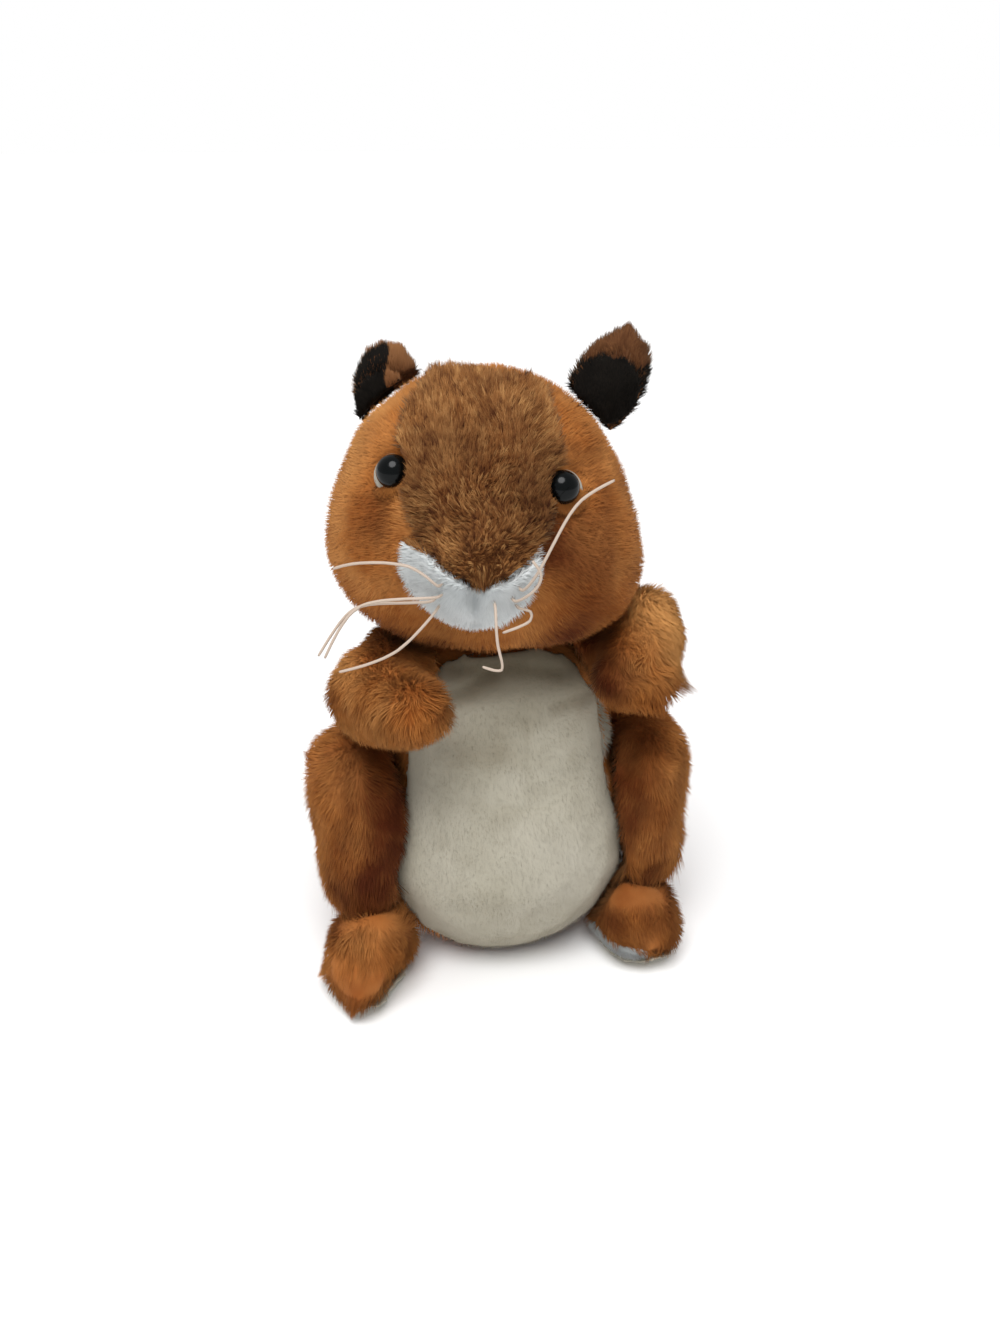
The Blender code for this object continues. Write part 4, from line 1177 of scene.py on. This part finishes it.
ARM_TUFTS = {
    "right": (((444, 700), 4, (452, 700)), ((392, 735), 4, (390, 746)), ((432, 728), 4, (440, 733)),
              ((330, 706), 4, (325, 714)), ((446, 668), 3.5, (454, 664))),
    "left": (((682, 680), 7, (714, 697)), ((660, 704), 6, (666, 722)), ((610, 688), 4, (604, 695)),
             ((688, 650), 4, (693, 655)), ((640, 704), 4, (642, 712))),
}
PAWS = {"right": (405, 705), "left": (650, 690)}
for side in SIDES:
    node = f"arm_{side}"
    arm = skin_of(node, f"arm_cloth_{side}", 2.1 * MM)
    press(arm, node, ARM_PRESSES[side])
    ripple(arm, 0.4, 10, 7)
    crease(arm, node, ARM_FOLDS[side])
    shade_light_and_tone = shade_light_and_tone_over(node, ARM_SHADE_AND_LIGHT[side])
    finish_skin(arm, node, brown_plush, shade_light_and_tone=shade_light_and_tone)
    paw = seen_at(*PAWS[side], node)
    coat(
        f"arm_pile_{side}", arm, brown_plush, 13800, 4.2, along=(0, -0.6, -0.8), spread=0.12,
        soft=0.9, lock_tint=0.15, pull=0.3, width=0.36,
        clear=("body", "head", "belly_panel", f"leg_{side}"), seed=71, shade_light_and_tone=shade_light_and_tone,
        shag=lambda points: 0.7 * np.clip(1.6 - np.linalg.norm(points - paw, axis=1) / 13, 0, 1),
        tufts=tufts_on(node, ARM_TUFTS[side]),
    )

# %% Sew the legs
LEG_FOLDS = {
    "right": [([(350, 750), (346, 800), (352, 850)], 0.9, 3.5),
              ([(372, 745), (376, 800), (370, 860)], 1.1, 4), ([(362, 750), (361, 800)], -0.8, 3)],
    "left": [([(632, 745), (636, 800), (630, 850)], 1.1, 4), ([(652, 760), (655, 820)], -0.6, 4)],
}
# Painted shade on the inner sides by the belly, in the folds, under the arms and where the leg meets the
# foot, and faintly over the outer sides; painted light on a raised fold.
LEG_SHADE_AND_LIGHT = {
    "right": [([(392, 742), (398, 800), (394, 880)], 10, 1.6),
              ([(372, 735), (378, 800), (376, 870)], 9, 0.6),
              ([(345, 765), (350, 850)], 3, 0.35), ([(330, 770), (340, 850)], 16, 0.16),
              ([(358, 790), (360, 860)], 2.5, -0.3), ([(335, 888), (365, 895), (390, 888)], 8, 0.9)],
    "left": [([(612, 725), (618, 800), (614, 860)], 8, 1.1), ([(634, 735), (638, 790), (634, 850)], 8, 0.4),
             ([(612, 866), (660, 870)], 6, 0.9), ([(640, 735), (660, 745)], 6, 0.4),
             ([(660, 780), (660, 850)], 14, 0.14)],
}
LEG_TUFTS = {
    "right": (((308, 760), 6, (301, 747)), ((322, 742), 5, (316, 740)), ((342, 734), 5, (340, 730)),
              ((340, 888), 6, (338, 906)), ((360, 890), 6, (358, 908)), ((380, 888), 6, (380, 906)),
              ((400, 884), 6, (402, 903))),
    "left": (((676, 760), 5, (684, 756)), ((622, 864), 6, (620, 882)), ((642, 866), 6, (642, 884)),
             ((660, 864), 6, (662, 882))),
}
ANKLES = {"right": (365, 900), "left": (640, 876)}
for side in SIDES:
    node = f"leg_{side}"
    leg = skin_of(node, f"leg_cloth_{side}", 2.2 * MM)
    ripple(leg, 0.45, 12, 8)
    ripple(leg, 0.3, 5, 9)
    crease(leg, node, LEG_FOLDS[side])
    shade_light_and_tone = shade_light_and_tone_over(node, LEG_SHADE_AND_LIGHT[side])
    finish_skin(leg, node, brown_plush, shade_light_and_tone=shade_light_and_tone)
    coat(
        f"leg_pile_{side}", leg, brown_plush, 16800, 4.4, along=(0, -0.2, -1), spread=0.12,
        soft=0.9, lock_tint=0.1, pull=0.2, width=0.36,
        clear=("body", "belly_panel", f"arm_{side}"), seed=81, shade_light_and_tone=shade_light_and_tone,
        tufts=tufts_on(node, LEG_TUFTS[side]),
    )
    ankle = seen_at(*ANKLES[side], node)
    coat(
        f"ankle_pile_{side}", leg, brown_plush, 30000, 7.0, along=(0, -0.7, -0.9), lift=22,
        soft=0.9, lock_tint=0.1, lock=2.4, pull=0.3, width=0.4, clear=("belly_panel",), seed=82, shade_light_and_tone=shade_light_and_tone,
        keep=lambda points: (points[:, 2] < (ankle[2] + 4.5) * MM) & (points[:, 1] < (ankle[1] + 12) * MM),
    )

# %% Sew the feet
FOOT_TUFTS = {
    "right": (((350, 990), 9, (351, 1023)), ((326, 964), 6.5, (314, 977)), ((388, 978), 5, (384, 988)),
              ((336, 980), 5, (334, 993)), ((348, 916), 5, (346, 897)), ((364, 914), 5, (365, 893)),
              ((382, 912), 5, (384, 890)), ((400, 914), 5, (404, 892)), ((414, 922), 4, (420, 906))),
    "left": (((668, 930), 4, (674, 940)), ((655, 945), 4, (655, 953)), ((604, 894), 5, (598, 880)),
             ((622, 888), 5, (621, 869)), ((642, 886), 5, (644, 868)), ((660, 890), 5, (667, 876))),
}
# Painted shade where the leg meets the foot and in the foot's hollows, and broadly over each foot, which
# lies in the shade of the head and arms.
FOOT_SHADE = {
    "right": [([(330, 908), (334, 930)], 5, 0.35), ([(345, 985), (365, 985)], 5, 0.3),
              ([(412, 920), (414, 950)], 4, 0.4), ([(370, 950)], 25, 0.16),
              ([(338, 908), (358, 908), (372, 900)], 4.5, 0.7)],
    "left": [([(600, 884), (640, 880), (668, 884)], 6, 0.6), ([(600, 900), (610, 925)], 4, 0.5),
             ([(640, 910)], 20, 0.55)],
}
FOOT_PRESSES = {
    "right": [((378, 915), (0, -1.2, 3.4), 11), ((412, 990), (-6, 3.0, 2), 11),
              ((350, 995), (0.5, -3, -0.6), 7), ((335, 990), (1.5, 1.0, 0.5), 6)],
    "left": [((635, 888), (0, -1.0, 3.2), 11)],
}
SOLE_RIMS = {
    "right": [(394, 984), (398, 968), (410, 958), (424, 952), (424, 984)],
    "left": [(584, 912), (596, 922), (606, 936), (622, 946), (645, 951), (655, 956), (655, 980),
             (584, 980)],
}


def on_sole(points, side):
    """Where the pale sole shows past the edge of the foot."""
    return (points[:, 1] < -0.015) & (points[:, 2] < 0.02) & within(points, SOLE_RIMS[side])


for side in SIDES:
    node = f"foot_{side}"
    foot = skin_of(node, f"foot_cloth_{side}", 1.9 * MM, 0.0018)
    press(foot, node, FOOT_PRESSES[side])
    tufts = [
        (seen_at(*spot, node), radius, seen_on_floor(*end) if end[1] > 950 else seen_at(*end, node))
        for spot, radius, end in FOOT_TUFTS[side]
    ]
    shade_light_and_tone = shade_light_and_tone_over(node, FOOT_SHADE[side])
    finish_skin(foot, node, brown_plush, shade_light_and_tone=shade_light_and_tone)
    coat(
        f"foot_pile_{side}", foot, brown_plush, 9400, 4.2, along=(0, -1, -0.3), spread=0.16,
        apart=(f"sole_{side}",), clear=("body", "belly_panel"), margin=0.8, seed=91, shade_light_and_tone=shade_light_and_tone,
        shag=lambda points: np.clip((-points[:, 1] - 28) / 14, 0, 1) * 0.4,
        keep=lambda points: (points[:, 2] > 1.2 * MM) & ~on_sole(points, side), tufts=tufts,
    )
    # The sole's rim takes white plush, paler than the sole's own cream: painted light on a rim that lies in
    # shade.
    coat(
        f"foot_rim_{side}", foot, white_plush, 60000, 3.0, width=0.3, lift=45, along=(0, -1, 0.2),
        lock=0, seed=92, keep=lambda points: on_sole(points, side), clear=("belly_panel",), spread=0.12,
    )
    sole = skin_of(f"sole_{side}", f"sole_cloth_{side}", 0.3 * MM, 0.0012, 1)
    if side == "right":
        press(sole, "sole_right", [((404, 990), (-3.5, 2.5, 0), 9)])
    finish_skin(sole, f"sole_{side}", cream_plush, 0.6)

# %% [markdown]
# ## The tail
# The longest pile of the toy, brushed up and outwards so that it reads as a bush.

# %% Sew the tail
tail = skin_of("tail", "tail_cloth", 5.0 * MM, 0.003)
finish_skin(tail, "tail", brown_plush)
coat(
    "tail_pile", tail, brown_plush, 15500, 10.5, width=0.74, behind=1, lift=40, along=(0, 0.1, 1),
    lock=5, pull=0.5, seed=101, clear=("body", "head"), keep=lambda points: points[:, 2] > 6 * MM,
)

# %% [markdown]
# ## Room and light
# A pale floor that runs on to the horizon, one large soft lamp from the upper left, and a plain pale
# sky that fills the shadows.

# %% Set the floor and the light


def add_floor():
    shape = bmesh.new()
    bmesh.ops.create_grid(shape, x_segments=1, y_segments=1, size=6)
    data = mesh_of(shape, "floor")
    floor = stand("floor", data)
    look = bpy.data.materials.new("floor")
    look.use_nodes = True
    shader = look.node_tree.nodes["Principled BSDF"]
    shader.inputs["Base Color"].default_value = (0.9, 0.9, 0.9, 1)
    shader.inputs["Roughness"].default_value = 0.9
    data.materials.append(look)


def add_sun(name, toward, strength, spread):
    """A soft lamp far away; spread is its width in degrees."""
    lamp = bpy.data.lights.new(name, "SUN")
    lamp.energy, lamp.angle = strength, math.radians(spread)
    made = stand(name, lamp)
    made.matrix_world = Vector(toward).to_track_quat("Z", "Y").to_matrix().to_4x4()


add_floor()
add_sun("window", (-0.22, -0.55, 1.3), 2.9, 40)
world = bpy.data.worlds.new("sky")
world.use_nodes = True
bpy.context.scene.world = world
sky = world.node_tree
background = sky.nodes["Background"]
background.inputs["Color"].default_value = (1, 1, 1, 1)
strength = put(sky, "ShaderNodeMath", operation="MAXIMUM")
sky.links.new(put(sky, "ShaderNodeLightPath").outputs["Is Camera Ray"], strength.inputs[0])
strength.inputs[1].default_value = 0.5
sky.links.new(strength.outputs[0], background.inputs["Strength"])
bpy.context.scene.view_settings.view_transform = "Standard"
print("lamps:", len(bpy.data.lights))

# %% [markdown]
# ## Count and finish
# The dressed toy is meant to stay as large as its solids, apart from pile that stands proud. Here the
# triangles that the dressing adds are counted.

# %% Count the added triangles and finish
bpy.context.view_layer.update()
graph = bpy.context.evaluated_depsgraph_get()
solids = {piece.name for piece in nodes.values()}
added = {}
for piece in bpy.context.scene.objects:
    if piece.type == "MESH" and piece.name not in solids:
        mesh = piece.evaluated_get(graph).data
        added[piece.name] = sum(len(face.vertices) - 2 for face in mesh.polygons)
print("triangles added:", sum(added.values()), "and at most", max(added.values()), "in a piece")
